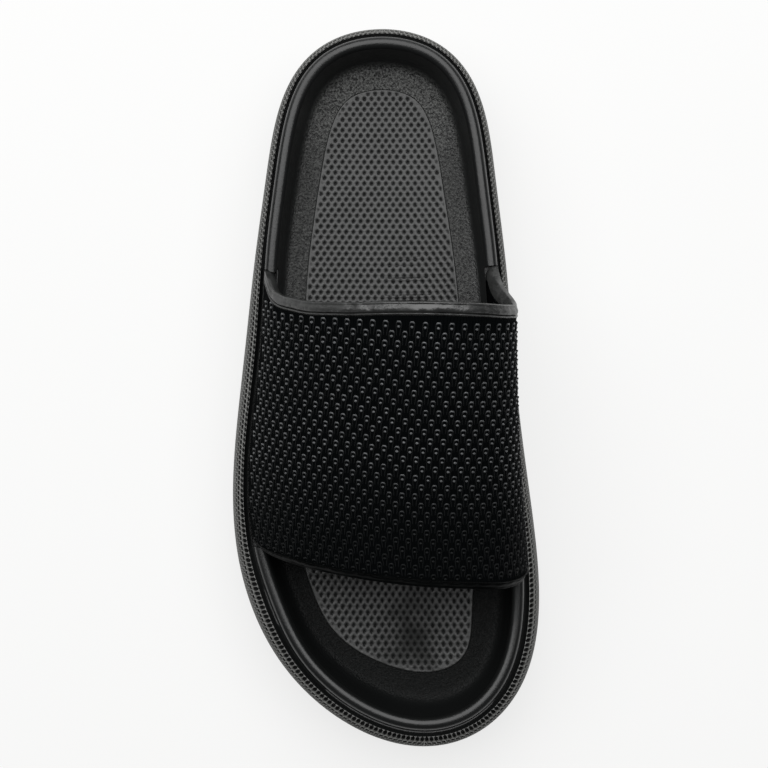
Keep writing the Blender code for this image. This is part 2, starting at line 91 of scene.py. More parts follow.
# Places along the sole, as shares of its length from the middle, heel side positive
TOE_SPRING_FROM = -0.30
HEEL_SPRING_FROM = 0.41
WAIST_MIDDLE = 0.07
WAIST_REACH = 0.13
ARCH_MIDDLE = 0.15
ARCH_REACH = 0.24
FOREFOOT_GROOVES = (-0.375, -0.02)
HEEL_GROOVES = (0.165, 0.405)

# Places across the sole, as shares of its half width
ARCH_FROM = 0.05
ARCH_TO = 0.60
ARCH_CREST = 1.3
BED_FLAT = 0.55
POCKET_REACH = 0.12
FOOT_REACH = 0.14

# Outline of the sole at its widest level, heel to toe.
# along is a share of SOLE_LENGTH, lateral and medial are shares of SOLE_WIDTH.
OUTLINE = [
    # name, along, lateral, medial
    ("heel tip", 0.500, -0.004, -0.004),
    ("heel round", 0.478, -0.212, 0.186),
    ("heel corner", 0.433, -0.307, 0.278),
    ("heel seat", 0.376, -0.356, 0.326),
    ("heel breast", 0.292, -0.391, 0.356),
    ("rear waist", 0.208, -0.418, 0.381),
    ("waist", 0.096, -0.448, 0.405),
    ("fore waist", -0.017, -0.477, 0.428),
    ("ball", -0.129, -0.499, 0.462),
    ("small toe joint", -0.213, -0.491, 0.487),
    ("big toe joint", -0.298, -0.447, 0.499),
    ("small toe", -0.368, -0.371, 0.482),
    ("toe corner", -0.424, -0.265, 0.431),
    ("toe round", -0.466, -0.137, 0.346),
    ("toe nose", -0.489, -0.022, 0.254),
    ("toe tip", -0.500, 0.120, 0.120),
]

# Rim bead, insole border and heights round the sole, heel to toe.
RIM = [
    # name, along, bead lateral, bead medial, panel lateral, panel medial, rim lateral, rim medial, bed
    ("heel tip", 0.500, 0.86, 0.86, 1.05, 1.05, 1.000, 1.000, 1.01),
    ("heel seat", 0.376, 0.77, 0.74, 0.97, 0.97, 0.985, 0.985, 0.97),
    ("rear waist", 0.208, 0.77, 0.71, 0.94, 0.91, 0.945, 0.950, 0.96),
    ("waist", 0.060, 0.96, 0.74, 1.00, 0.90, 0.905, 0.930, 0.95),
    ("ball", -0.103, 0.97, 0.82, 1.05, 0.98, 0.850, 0.890, 0.82),
    ("small toe joint", -0.210, 1.06, 0.90, 1.11, 1.09, 0.835, 0.865, 0.77),
    ("big toe joint", -0.305, 1.20, 0.99, 1.11, 1.17, 0.845, 0.855, 0.79),
    ("toe corner", -0.410, 1.13, 1.08, 1.09, 1.14, 0.890, 0.890, 0.87),
    ("toe tip", -0.500, 1.13, 1.13, 1.26, 1.26, 0.935, 0.935, 0.98),
]

# Outer side from the tread to the bead: inset is a share of TREAD_INSET below the bulge and of the
# way to the bead above it, up is a share of the local side height.
SIDE = [
    # name, below the bulge, inset, up
    ("tread edge", True, 1.00, 0.00),
    ("tread round", True, 0.50, 0.035),
    ("lower wall", True, 0.16, 0.15),
    ("bulge", False, 0.00, 0.38),
    ("upper wall", False, 0.10, 0.60),
    ("shoulder turn", False, 0.37, 0.785),
    ("shoulder", False, 0.70, 0.872),
    ("ledge", False, 0.89, 0.832),
    ("bead foot", False, 1.00, 0.848),
]
NET_FROM = 1
NET_TO = 6

# Bowl of the footbed from the bead down to the insole's border
BOWL = [
    # name, inset, down
    ("brow", 0.07, 0.28),
    ("wall", 0.19, 0.62),
    ("foot of wall", 0.38, 0.89),
    ("surround", 0.68, 0.985),
]

# Arch of the strap's outer face, from the lateral rim over the top to the medial rim
STRAP_ARCH = [
    # name, rear across, rear rise, rear back, front across, front rise, front back
    ("lateral foot", -1.000, 0.000, 0.145, -1.000, 0.000, 0.115),
    ("lateral wall", -0.930, 0.150, 0.080, -0.920, 0.150, 0.090),
    ("lateral haunch", -0.700, 0.450, 0.028, -0.740, 0.440, 0.066),
    ("lateral slope", -0.330, 0.745, 0.010, -0.460, 0.725, 0.041),
    ("crown", 0.060, 0.925, 0.009, -0.140, 0.920, 0.021),
    ("crest", 0.420, 1.000, 0.007, 0.190, 1.000, 0.006),
    ("medial shoulder", 0.800, 0.885, 0.003, 0.560, 0.905, -0.006),
    ("medial haunch", 1.030, 0.670, 0.002, 0.820, 0.720, -0.013),
    ("medial wall", 1.095, 0.400, 0.020, 0.970, 0.420, -0.004),
    ("medial hip", 1.015, 0.130, 0.100, 1.015, 0.190, 0.014),
    ("medial foot", 1.000, 0.000, 0.160, 1.000, 0.000, 0.035),
]

# Sections of the trims, from the joint with the strap over the face to the free edge.
# in is a share of the width, rise is over the strap's face and deep a share of the wall.
TRIM_REAR_FACE = [
    # name, in, rise
    ("joint floor", 1.03, -0.00110),
    ("joint", 1.00, -0.00060),
    ("fine ridge", 0.97, 0.00020),
    ("fine groove", 0.94, -0.00012),
    ("ridge outer", 0.915, 0.00026),
    ("ridge top", 0.86, 0.00046),
    ("ridge inner", 0.805, 0.00030),
    ("groove", 0.765, -0.00050),
    ("band foot", 0.72, 0.00015),
    ("band", 0.64, 0.00042),
    ("band middle", 0.48, 0.00050),
    ("band edge", 0.33, 0.00036),
    ("trough", 0.235, -0.00002),
    ("lip foot", 0.17, 0.00004),
    ("lip", 0.105, 0.00018),
    ("lip edge", 0.05, 0.00002),
]
TRIM_FRONT_FACE = [
    # name, in, rise
    ("joint floor", 1.06, -0.00110),
    ("joint", 1.01, -0.00050),
    ("ridge outer", 0.965, 0.00022),
    ("ridge top", 0.90, 0.00048),
    ("ridge inner", 0.83, 0.00024),
    ("groove", 0.76, -0.00035),
    ("band foot", 0.69, -0.00020),
    ("band", 0.52, -0.00042),
    ("band slope", 0.34, -0.00080),
    ("lip foot", 0.22, -0.00112),
    ("lip", 0.12, -0.00110),
    ("lip edge", 0.04, -0.00120),
]
TRIM_EDGE = [
    # name, in, deep
    ("free edge", 0.00, 0.42),
    ("inner round", 0.04, 0.54),
    ("inner turn", 0.14, 0.70),
    ("inner slope", 0.45, 0.92),
    ("inner joint", 1.00, 1.00),
]
WAVE_HEIGHT = 0.00010
WAVES_OVER_ARCH = 9
WAVE_LEAN = 4
FINE_WAVE_SHARE = 0.6
FINE_WAVE_COUNT = 2.7
FINE_WAVE_LEAN = 9
TRIM_FADE = 0.05
TRIMS = [
    # piece, node, material, section, width, from the rear, colour, gloss, height of its slow waves
    ("trim_rear", "strap_trim_rear", "rear_trim_rubber", TRIM_REAR_FACE, TRIM_REAR_WIDTH, True,
     (0.013, 0.0135, 0.013), 0.8, 0.00030),
    # The front trim is a darker, duller copy of the same rubber: painted shade, as it faces away from the
    # lamp
    ("trim_front", "strap_trim_front", "front_trim_rubber", TRIM_FRONT_FACE, TRIM_FRONT_WIDTH, False,
     (0.0015, 0.0018, 0.0018), 0.03, 0.00008),
]

# Net of pits round the sole's side. Its top row is a plain row of pits at the heel and grows to longer
# slots at the toes, between the two world y of SLOT_FADE.
NET_PITCH = 0.00193
NET_ROWS = 15
NET_STEPS = 4
SLOT_STEPS = 8
SLOT_STRETCH = 1.0
SLOT_STRETCH_TOE = 1.8
SLOT_FADE = (-0.030, -0.070)
NET_BACKING = 0.0014
NET_PITS = {
    "Pit Half Width": 0.45, "Pit Half Length": 0.47, "Pit Depth": 0.0010, "Wall Softness": 0.35,
    "Depth Variation": 0.35, "Seed": 5.0,
}

# Oval dimples of the insole panel
DIMPLE_ACROSS = 0.0027
DIMPLE_ROW_HEEL = 0.0019
DIMPLE_ROW_TOE = 0.0024
DIMPLE_STEPS_ACROSS = 6
DIMPLE_STEPS_ALONG = 4
DIMPLE_BORDER = 0.0004
DIMPLE_FADE = 0.0005
PANEL_PITS = {
    "Pit Half Width": 0.28, "Pit Half Length": 0.46, "Pit Depth": 0.0010, "Wall Softness": 0.80,
    "Depth Variation": 0.25, "Seed": 9.0,
}

# Smudge on the panel: its middle, how far its edge wanders, where it fades, what gloss is left
SMUDGE_MIDDLE = (0.011, -0.093, 0.024)
SMUDGE_RAGGED = 0.010
SMUDGE_FADE = (0.006, 0.024)
SMUDGE_GLOSS = 0.12

# The bowl from here to the toes takes a darker, duller copy of the foam as painted shade of the strap; the
# strap hides the change
TOE_BOWL_FROM = -0.010

# Stitch-like loops of the strap
LOOP_COLUMNS = 28
FRONT_SHIFT = 0.095
FRONT_NARROWING = 0.848
LOOP_ROWS = 26
LOOP_ROWS_BEYOND = 7
ROW_EASING = 0.045
LOOP_PITCH = 0.00485
LOOP_SHORTENING = 0.16
LOOP_FROM_FEET = 0.012
LOOP_FROM_REAR = 0.0007
LOOP_FROM_FRONT = 0.0004
TUCK_DEPTH = 0.0011
TUCK_SHARE = 0.9
LOOP_COLUMNS_BEYOND = 5
LOOP_SETTLING = 6
LOOP_WIDTHS = (0.8, 1.15)
LOOP_SETTING = {"Loop Size": 1.0, "Size Variation": 0.08, "Seed": 3}

# One loop in millimetres, +Y towards the heel: places of its arch, the rope's half width, its share of
# painted highlight
LOOP_PATH = [
    # (across, along, up), half width, highlight
    ((-0.60, -4.3, -0.26), 0.24, 0.0),
    ((-0.74, -2.3, -0.16), 0.26, 0.0),
    ((-0.96, -0.9, -0.14), 0.29, 0.0),
    ((-0.92, 0.40, -0.06), 0.32, 0.05),
    ((-0.44, 0.98, 0.20), 0.38, 1.0),
    ((0.44, 0.98, 0.20), 0.38, 1.0),
    ((0.92, 0.40, -0.06), 0.32, 0.05),
    ((0.96, -0.9, -0.14), 0.29, 0.0),
    ((0.74, -2.3, -0.16), 0.26, 0.0),
    ((0.60, -4.3, -0.26), 0.24, 0.0),
]
LOOP_SECTION = [
    # side, up, highlight
    (1.00, -0.40, 0.0),
    (0.92, 0.55, 0.3),
    (0.52, 1.00, 1.0),
    (-0.52, 1.00, 1.0),
    (-0.92, 0.55, 0.3),
    (-1.00, -0.40, 0.0),
]
LOOP_BEAD = [
    # half width, half length, up, highlight
    (0.72, 0.58, -0.15, 0.0),
    (0.66, 0.50, 0.24, 0.4),
    (0.46, 0.32, 0.42, 1.0),
]
BEAD_MIDDLE = -0.82
BEAD_SIDES = 8

# World y of the first and the last row of loops over the arch
LOOP_LINES = [
    # share of the arch, first row, last row
    (0.000, 0.0280, -0.0525),
    (0.100, 0.0260, -0.0555),
    (0.185, 0.0245, -0.0575),
    (0.337, 0.0230, -0.0598),
    (0.465, 0.0220, -0.0617),
    (0.588, 0.0212, -0.0627),
    (0.740, 0.0212, -0.0629),
    (0.850, 0.0222, -0.0618),
    (1.000, 0.0250, -0.0590),
]

# Mesh density
OUTLINE_SAMPLES = 2880
OUTLINE_WAVES = 11
BODY_STATIONS = 150
BODY_STEPS = 3
BODY_FILL = 24
PANEL_BORDER = 900
UNDERSIDE_CUTS = 4
STRAP_STEPS = 120
STRAP_ROWS = 50
ROOT_ROWS = 4
NORMAL_STEP = 0.004
SMOOTH_ANGLE = 40.0
BEAD_TURN = 30
POCKET_STEPS = 12
POCKET_ROWS = 40
GROOVE_STEPS = 16

# Colours in linear light
FOAM = (0.006, 0.0065, 0.0065)
FOAM_GROUND = (0.0055, 0.006, 0.006)
# Painted highlight on the grain crests round the panel
FOAM_CREST_HIGHLIGHT = (0.110, 0.112, 0.108)
# Dark crests of the toe bowl's copy of the foam: painted shade of the strap
TOE_SHADED_CRESTS = (0.008, 0.0085, 0.008)
NET = (0.016, 0.016, 0.015)
# Painted highlight on the net's ribs and painted shade in its pits
NET_RIB_HIGHLIGHT = (0.135, 0.135, 0.128)
NET_PIT_SHADE = (0.004, 0.0043, 0.0042)
PANEL = (0.010, 0.011, 0.010)
PANEL_TOP = (0.012, 0.0125, 0.012)
# Painted shade in the panel's dimples
PANEL_DIMPLE_SHADE = (0.0035, 0.0038, 0.0037)
KNIT = (0.0014, 0.0018, 0.002)
LOOPS = (0.002, 0.0025, 0.0027)
# Painted highlight on the loops' tops
LOOPS_HIGHLIGHT = (0.075, 0.079, 0.082)
PAPER = (0.20, 0.20, 0.199)
PAPER_GLOW = (1.0, 1.0, 0.995, 1.0)
ROOM = (0.96, 0.98, 1.0, 1.0)

# Painted highlights on the leather grain's crests and on the loops' tops, brightest towards the heel under
# the lamp:
# the world y between which each grows from its least share to full, and the depth of the grain
CREST_HIGHLIGHT_FADE = (0.080, 0.108)
CREST_HIGHLIGHT_LEAST = 0.45
LEATHER_DEPTH = 0.00100
LOOP_HIGHLIGHT_FADE = (-0.055, -0.018)
LOOP_HIGHLIGHT_LEAST = 0.05

# Ribs of the strap's wall to one column of loops
KNIT_RIBS = 4

# Floor, room and lamp
FLOOR_REACH = 12.0
FLOOR_GLOW = 0.73
ROOM_LIGHT = 0.10
ROOM_SEEN = 0.85
LAMP_PLACE = (-0.24, 1.07, 1.3)
LAMP_TARGET = (-0.24, 1.07, 0.0)
LAMP_SIZE = (2.6, 2.3)
LAMP_POWER = 56.0

# The photo's camera: straight above, image up towards the heel
CAMERA_PLACE = (-0.00076, 0.0015, 0.650)
CAMERA_PIXELS = 1657.0
IMAGE_WIDTH = 768.0
SENSOR_WIDTH = 36.0


def column(table, index):
    """One column of a table as an array."""
    return np.array([row[index] for row in table], dtype=float)


def smooth_through(at, xs, ys):
    """A smooth curve through the places xs with the values ys, read at the places in at."""
    xs = np.asarray(xs, dtype=float)
    ys = np.asarray(ys, dtype=float)
    slope = np.gradient(ys, xs, axis=0)
    at = np.clip(at, xs[0], xs[-1])
    span = np.clip(np.searchsorted(xs, at, side="right") - 1, 0, len(xs) - 2)
    width = xs[span + 1] - xs[span]
    t = (at - xs[span]) / width
    if ys.ndim > 1:
        grow = (...,) + (None,) * (ys.ndim - 1)
        t, width = t[grow], width[grow]
    start = (1 + 2 * t) * (1 - t) ** 2 * ys[span] + t * (1 - t) ** 2 * width * slope[span]
    end = t * t * (3 - 2 * t) * ys[span + 1] - t * t * (1 - t) * width * slope[span + 1]
    return start + end


def reach_of(points):
    """Distance along a polyline up to each of its points."""
    steps = np.linalg.norm(np.diff(points, axis=0), axis=1)
    return np.concatenate(([0.0], np.cumsum(steps)))


def reach_of_rows(rows):
    """Mean distance over a grid from its first row up to each of its rows."""
    steps = np.linalg.norm(np.diff(rows, axis=0), axis=2).mean(axis=1)
    return np.concatenate(([0.0], np.cumsum(steps)))


def faired_outline():
    """The sole's outline as a closed smooth curve, from the heel tip round by the lateral side."""
    along = column(OUTLINE, 1) * SOLE_LENGTH
    lateral = np.column_stack([column(OUTLINE, 2) * SOLE_WIDTH, along])
    medial = np.column_stack([column(OUTLINE, 3) * SOLE_WIDTH, along])
    loop = np.vstack([lateral, medial[-2:0:-1], lateral[:1]])
    reach = reach_of(loop)
    wrapped_reach = np.concatenate([reach[-4:-1] - reach[-1], reach, reach[-1] + reach[1:4]])
    wrapped = np.vstack([loop[-4:-1], loop, loop[1:4]])
    at = np.linspace(0.0, reach[-1], OUTLINE_SAMPLES, endpoint=False)
    curve = smooth_through(at, wrapped_reach, wrapped)
    waves = np.fft.fft(curve[:, 0] + 1j * curve[:, 1])
    waves[OUTLINE_WAVES + 1:-OUTLINE_WAVES] = 0
    faired = np.fft.ifft(waves)
    x, y = faired.real, faired.imag
    x = (x - (x.max() + x.min()) / 2) * SOLE_WIDTH / (x.max() - x.min())
    y = (y - (y.max() + y.min()) / 2) * SOLE_LENGTH / (y.max() - y.min())
    return np.roll(np.column_stack([x, y]), -int(np.argmax(y)), axis=0)


def half_outlines():
    """Both sides of the outline from heel tip to toe tip, with the unit vectors that point inwards."""
    curve = faired_outline()
    tangent = np.roll(curve, -1, axis=0) - np.roll(curve, 1, axis=0)
    inward = np.column_stack([-tangent[:, 1], tangent[:, 0]])
    inward /= np.linalg.norm(inward, axis=1)[:, None]
    if np.sum(inward * (curve.mean(axis=0) - curve)) < 0:
        inward = -inward
    both = np.column_stack([curve, inward])
    toe = int(np.argmin(curve[:, 1]))
    return {"lateral": both[:toe + 1], "medial": np.vstack([both[toe:], both[:1]])[::-1]}


HALVES = half_outlines()


def rim_value(share, index):
    """A column of RIM read at shares of the length."""
    return smooth_through(share, column(RIM, 1)[::-1], column(RIM, index)[::-1])


def tread_height(y):
    """Height of the tread over the floor: flat at heel and forefoot, raised at toe, waist and heel."""
    share = np.asarray(y) / SOLE_LENGTH
    toe = np.clip((TOE_SPRING_FROM - share) / (TOE_SPRING_FROM + 0.5), 0, None) ** 2 * TOE_SPRING
    heel = np.clip((share - HEEL_SPRING_FROM) / (0.5 - HEEL_SPRING_FROM), 0, None) ** 2 * HEEL_SPRING
    waist = np.clip(1 - ((share - WAIST_MIDDLE) / WAIST_REACH) ** 2, 0, None) ** 2 * WAIST_RISE
    return toe + heel + waist


def bed_height(x, y):
    """Height of the footbed: a dish that drops from heel to ball, with the arch on the medial side."""
    share = np.asarray(y) / SOLE_LENGTH
    base = rim_value(share, 8) * BED_HEIGHT
    across = np.asarray(x) / (SOLE_WIDTH / 2)
    arch_run = np.clip(1 - ((share - ARCH_MIDDLE) / ARCH_REACH) ** 2, 0, None) ** 2
    arch_side = np.clip((across - ARCH_FROM) / (ARCH_TO - ARCH_FROM), 0, ARCH_CREST) ** 2
    return base + ARCH_LIFT * arch_run * arch_side + BED_DISH * (across / BED_FLAT) ** 2


class Stations:
    """Places round the outline, with the rim's own sizes at each of them."""

    def __init__(self, sides):
        """sides is a list of (side, shares of its arc from heel tip to toe tip)."""
        parts = []
        for side, shares in sides:
            half = HALVES[side]
            reach = reach_of(half[:, :2])
            at = np.asarray(shares) * reach[-1]
            parts.append(np.column_stack([np.interp(at, reach, half[:, k]) for k in range(4)]))
        lateral = np.concatenate([np.full(len(p), side == "lateral") for p, (side, _) in zip(parts, sides)])
        both = np.vstack(parts)
        self.points = both[:, :2]
        self.inward = both[:, 2:]
        share = self.points[:, 1] / SOLE_LENGTH
        self.bead = np.where(lateral, rim_value(share, 2), rim_value(share, 3)) * RIM_INSET
        self.panel = np.where(lateral, rim_value(share, 4), rim_value(share, 5)) * PANEL_INSET
        self.rim = np.where(lateral, rim_value(share, 6), rim_value(share, 7)) * RIM_HEIGHT
        self.floor = tread_height(self.points[:, 1])

    def ring(self, inset, height):
        """A row of points at a distance inside the outline, at the given heights."""
        count = len(self.points)
        place = self.points + self.inward * np.broadcast_to(inset, count)[:, None]
        return np.column_stack([place, np.broadcast_to(height, count)])

    def on_bed(self, inset, lift):
        """A row of points on the footbed's surface, lifted by a height."""
        row = self.ring(inset, 0.0)
        row[:, 2] = bed_height(row[:, 0], row[:, 1]) + lift
        return row

    def side_rows(self, extra=0.0):
        """The rows of SIDE from tread edge to bead foot, moved inwards by an extra inset."""
        rows = []
        for _, below, inset, up in SIDE:
            size = TREAD_INSET if below else self.bead - BEAD_WIDTH / 2
            rows.append(self.ring(inset * size + extra, self.floor + up * (self.rim - self.floor)))
        return rows

    def backing_rows(self, depth):
        """The netted stretch of the side moved inwards by a depth, its top row tucked under the ledge."""
        rows = self.side_rows(depth)[NET_FROM:NET_TO + 1]
        rows[-1] = self.side_rows()[NET_TO] - np.array([0.0, 0.0, depth])
        return rows


def round_stations(count):
    """Stations all round the sole: lateral side from heel to toe, then back by the medial side."""
    shares = np.linspace(0.0, 1.0, count + 1)
    return Stations([("lateral", shares), ("medial", shares[-2:0:-1])])


def dense_rows(rows, steps):
    """Rows joined by a smooth curve, with a number of steps between each two."""
    rows = np.array(rows)
    reach = reach_of_rows(rows)
    at = np.interp(np.arange((len(rows) - 1) * steps + 1) / steps, np.arange(len(rows)), reach)
    return list(smooth_through(at, reach, rows))


def put_in_scene(name, data):
    """A new object of some data, linked to the scene."""
    obj = bpy.data.objects.new(name, data)
    bpy.context.scene.collection.objects.link(obj)
    return obj


def new_object(name, points, faces, smooth_angle=SMOOTH_ANGLE):
    """A mesh object of the given points and faces, its faces pointing outwards."""
    mesh = bpy.data.meshes.new(name)
    mesh.from_pydata([tuple(map(float, p)) for p in points], [], faces)
    form = bmesh.new()
    form.from_mesh(mesh)
    bmesh.ops.recalc_face_normals(form, faces=form.faces)
    if form.calc_volume(signed=True) < 0:
        bmesh.ops.reverse_faces(form, faces=form.faces)
    form.to_mesh(mesh)
    form.free()
    mesh.shade_smooth()
    mesh.set_sharp_from_angle(angle=math.radians(smooth_angle))
    return put_in_scene(name, mesh)


def put_numbers(obj, name, values, rest=0.0):
    """Store one number for each point of a mesh; points after the last value get the rest."""
    numbers = np.full(len(obj.data.vertices), rest, dtype=np.float32)
    numbers[:len(values)] = values
    attribute = obj.data.attributes.new(name, "FLOAT", "POINT")
    attribute.data.foreach_set("value", numbers)


def put_vectors(obj, name, values):
    """Store one vector for each point of a mesh."""
    attribute = obj.data.attributes.new(name, "FLOAT_VECTOR", "POINT")
    attribute.data.foreach_set("vector", np.asarray(values, dtype=np.float32).ravel())


class Shell:
    """Collects rows, grids and caps into one closed mesh."""

    def __init__(self):
        self.points = []
        self.faces = []

    def add(self, points):
        """Add points and return their numbers."""
        first = len(self.points)
        self.points.extend(np.asarray(points, dtype=float).tolist())
        return list(range(first, first + len(points)))

    def strip(self, one, two, closed=False):
        """Join two rows of equal count."""
        count = len(one)
        for i in range(count if closed else count - 1):
            j = (i + 1) % count
            self.faces.append((one[i], one[j], two[j], two[i]))

    def strips(self, rows, closed=False):
        """Join each row to the next."""
        for one, two in zip(rows, rows[1:]):
            self.strip(one, two, closed)

    def tube(self, rings):
        """Join rings into a tube and close both of its ends."""
        self.strips(rings, closed=True)
        self.faces.append(tuple(rings[0]))
        self.faces.append(tuple(rings[-1]))

    def fill(self, loop, columns, height_of):
        """Close a loop that pairs its two sides with a grid that follows height_of(x, y)."""
        rows = []
        half = len(loop) // 2
        for i in range(1, half):
            left = np.array(self.points[loop[i]])
            right = np.array(self.points[loop[-i]])
            share = np.arange(1, columns)[:, None] / columns
            inner = left + (right - left) * share
            inner[:, 2] = height_of(inner[:, 0], inner[:, 1])
            rows.append([loop[i]] + self.add(inner) + [loop[-i]])
        self.strips(rows)
        for tip, row in ((loop[0], rows[0]), (loop[half], rows[-1])):
            for i in range(columns):
                self.faces.append((tip, row[i], row[i + 1]))


# Strap


def bead_line(side):
    """The bead's middle on one side of the sole, as y rising, x and rim height."""
    at = Stations([(side, np.linspace(0.0, 1.0, BODY_STATIONS + 1))])
    middle = at.ring(at.bead, at.rim)
    order = np.argsort(middle[:, 1])
    return middle[order, 1], middle[order, 0], middle[order, 2]


LATERAL_LINE = bead_line("lateral")
MEDIAL_LINE = bead_line("medial")


def arch_places():
    """Shares of arch length at which the named places of STRAP_ARCH lie."""
    half_span = SOLE_WIDTH / 2 - RIM_INSET
    across = (column(STRAP_ARCH, 1) + column(STRAP_ARCH, 4)) / 2 * half_span
    rise = (column(STRAP_ARCH, 2) * STRAP_RISE_REAR + column(STRAP_ARCH, 5) * STRAP_RISE_FRONT) / 2
    reach = reach_of(np.column_stack([across, rise]))
    return reach / reach[-1]


ARCH_PLACES = arch_places()


def arch_value(u, index):
    """A column of STRAP_ARCH read at shares of the arch."""
    return smooth_through(u, ARCH_PLACES, column(STRAP_ARCH, index))


def strap_edge(u, rear):
    """The y of the strap's rear or front edge at share u of the arch."""
    if rear:
        return STRAP_REAR + arch_value(u, 3) * STRAP_LENGTH
    return STRAP_REAR - STRAP_LENGTH + arch_value(u, 6) * STRAP_LENGTH


def strap_place(u, drop, v):
    """Points of the strap's outer face: u over the arch, drop below the rim, v from rear to front."""
    u, drop, v = np.broadcast_arrays(np.asarray(u, float), np.asarray(drop, float), np.asarray(v, float))
    rear_y = strap_edge(u, True)
    y = rear_y + (strap_edge(u, False) - rear_y) * v
    lateral = np.interp(y, LATERAL_LINE[0], LATERAL_LINE[1]) - STRAP_FOOT_WALL / 2
    medial = np.interp(y, MEDIAL_LINE[0], MEDIAL_LINE[1]) + STRAP_FOOT_WALL / 2
    across = arch_value(u, 1) * (1 - v) + arch_value(u, 4) * v
    rise = arch_value(u, 2) * STRAP_RISE_REAR * (1 - v) + arch_value(u, 5) * STRAP_RISE_FRONT * v
    share = np.clip((across + 1) / 2, 0, 1)
    rim = np.interp(y, LATERAL_LINE[0], LATERAL_LINE[2]) * (1 - share)
    rim = rim + np.interp(y, MEDIAL_LINE[0], MEDIAL_LINE[2]) * share
    x = (lateral + medial) / 2 + across * (medial - lateral) / 2
    return np.stack([x, y, rim + rise - drop], axis=-1)


def strap_out(u, drop, v):
    """Unit vectors out of the strap's face, level below the rim."""
    u, drop, v = np.broadcast_arrays(np.asarray(u, float), np.asarray(drop, float), np.asarray(v, float))
    low = np.clip(u - NORMAL_STEP, 0, 1)
    high = np.clip(u + NORMAL_STEP, 0, 1)
    over = strap_place(high, 0.0, v) - strap_place(low, 0.0, v)
    along = strap_place(u, 0.0, v + NORMAL_STEP) - strap_place(u, 0.0, v - NORMAL_STEP)
    out = np.cross(along, over)
    out /= np.linalg.norm(out, axis=-1)[..., None]
    place = strap_place(u, 0.0, v)
    middle = np.stack([np.zeros_like(u), place[..., 1], np.full_like(u, BED_HEIGHT)], axis=-1)
    out = np.where(np.sum(out * (place - middle), axis=-1)[..., None] > 0, out, -out)
    level = out * np.array([1.0, 1.0, 0.0])
    level /= np.linalg.norm(level, axis=-1)[..., None]
    return np.where(drop[..., None] > 0, level, out)


def strap_length_at(u):
    """Distance between the strap's two edges at share u of the arch."""
    return strap_edge(u, True) - strap_edge(u, False)


def wall_at(u):
    """Thickness of the strap's wall at share u of the arch: it grows towards both feet."""
    near_foot = np.clip(1 - np.minimum(u, 1 - np.asarray(u)) / FOOT_REACH, 0.0, 1.0)
    return STRAP_WALL + (STRAP_FOOT_WALL - STRAP_WALL) * near_foot ** 2 * (3 - 2 * near_foot)


def strap_point(u, drop, distance, depth, from_rear=True):
    """Points a distance in from the rear or front edge and a depth under the outer face."""
    share = distance / strap_length_at(u)
    v = share if from_rear else 1 - share
    return strap_place(u, drop, v) - strap_out(u, drop, np.clip(v, 0, 1)) * np.asarray(depth)[..., None]


def strap_columns(steps):
    """Share of the arch and drop below the rim for each column of the strap, from foot to foot."""
    arch = np.linspace(0.0, 1.0, steps + 1)
    root = SEAT_DEPTH * np.arange(ROOT_ROWS, 0, -1) / ROOT_ROWS
    u = np.concatenate([np.zeros(ROOT_ROWS), arch, np.ones(ROOT_ROWS)])
    drop = np.concatenate([root, np.zeros(steps + 1), root[::-1]])
    return u, drop


def loop_column(u, v):
    """Column of the loops at a place of the strap: they draw together towards the front."""
    return LOOP_COLUMNS * (u - FRONT_SHIFT * v) / (1 - (1 - FRONT_NARROWING) * v)


def column_share(loop, v):
    """Share of the arch at which a column of loops lies."""
    return loop / LOOP_COLUMNS * (1 - (1 - FRONT_NARROWING) * v) + FRONT_SHIFT * v


# Node trees


class Tree:
    """Builds a node tree with short calls."""

    def __init__(self, tree):
        self.tree = tree

    def node(self, kind, inputs=None, **settings):
        """A new node with its settings, and with its inputs joined or set."""
        node = self.tree.nodes.new(kind)
        for name, value in settings.items():
            setattr(node, name, value)
        for key, value in (inputs or {}).items():
            self.link(value, node.inputs[key])
        return node

    def link(self, source, target):
        """Join a source, or set a number, colour or vector, on a socket."""
        if isinstance(source, bpy.types.NodeSocket):
            self.tree.links.new(source, target)
        else:
            target.default_value = source

    def math(self, operation, first, second=None):
        """A math node's result."""
        values = {0: first} if second is None else {0: first, 1: second}
        return self.node("ShaderNodeMath", values, operation=operation).outputs[0]

    def ramp(self, value, low, high, to_low=0.0, to_high=1.0, kind="SMOOTHSTEP"):
        """A value mapped from one range to another, held at its ends."""
        values = dict(enumerate((value, low, high, to_low, to_high)))
        return self.node("ShaderNodeMapRange", values, interpolation_type=kind).outputs[0]

    def noise(self, place, size, detail, roughness):
        """Soft noise whose lumps have about the given size in metres."""
        scale = self.math("DIVIDE", 1.0, size)
        values = {"Vector": place, "Scale": scale, "Detail": detail, "Roughness": roughness}
        return self.node("ShaderNodeTexNoise", values, noise_dimensions="3D").outputs["Fac"]


def new_group(name, kind, inputs, outputs):
    """A node group with named sockets: each is (name, socket type, value or None)."""
    group = bpy.data.node_groups.new(name, kind)
    for label, socket, value in inputs:
        made = group.interface.new_socket(label, in_out="INPUT", socket_type=socket)
        if value is not None:
            made.default_value = value
    for label, socket, _ in outputs:
        group.interface.new_socket(label, in_out="OUTPUT", socket_type=socket)
    tree = Tree(group)
    start = tree.node("NodeGroupInput").outputs
    end = tree.node("NodeGroupOutput").inputs
    return tree, start, end


def read_named(tree, name, kind="FLOAT"):
    """A named number or vector of the mesh in a geometry tree."""
    node = tree.node("GeometryNodeInputNamedAttribute", {"Name": name}, data_type=kind)
    return node.outputs["Attribute"]


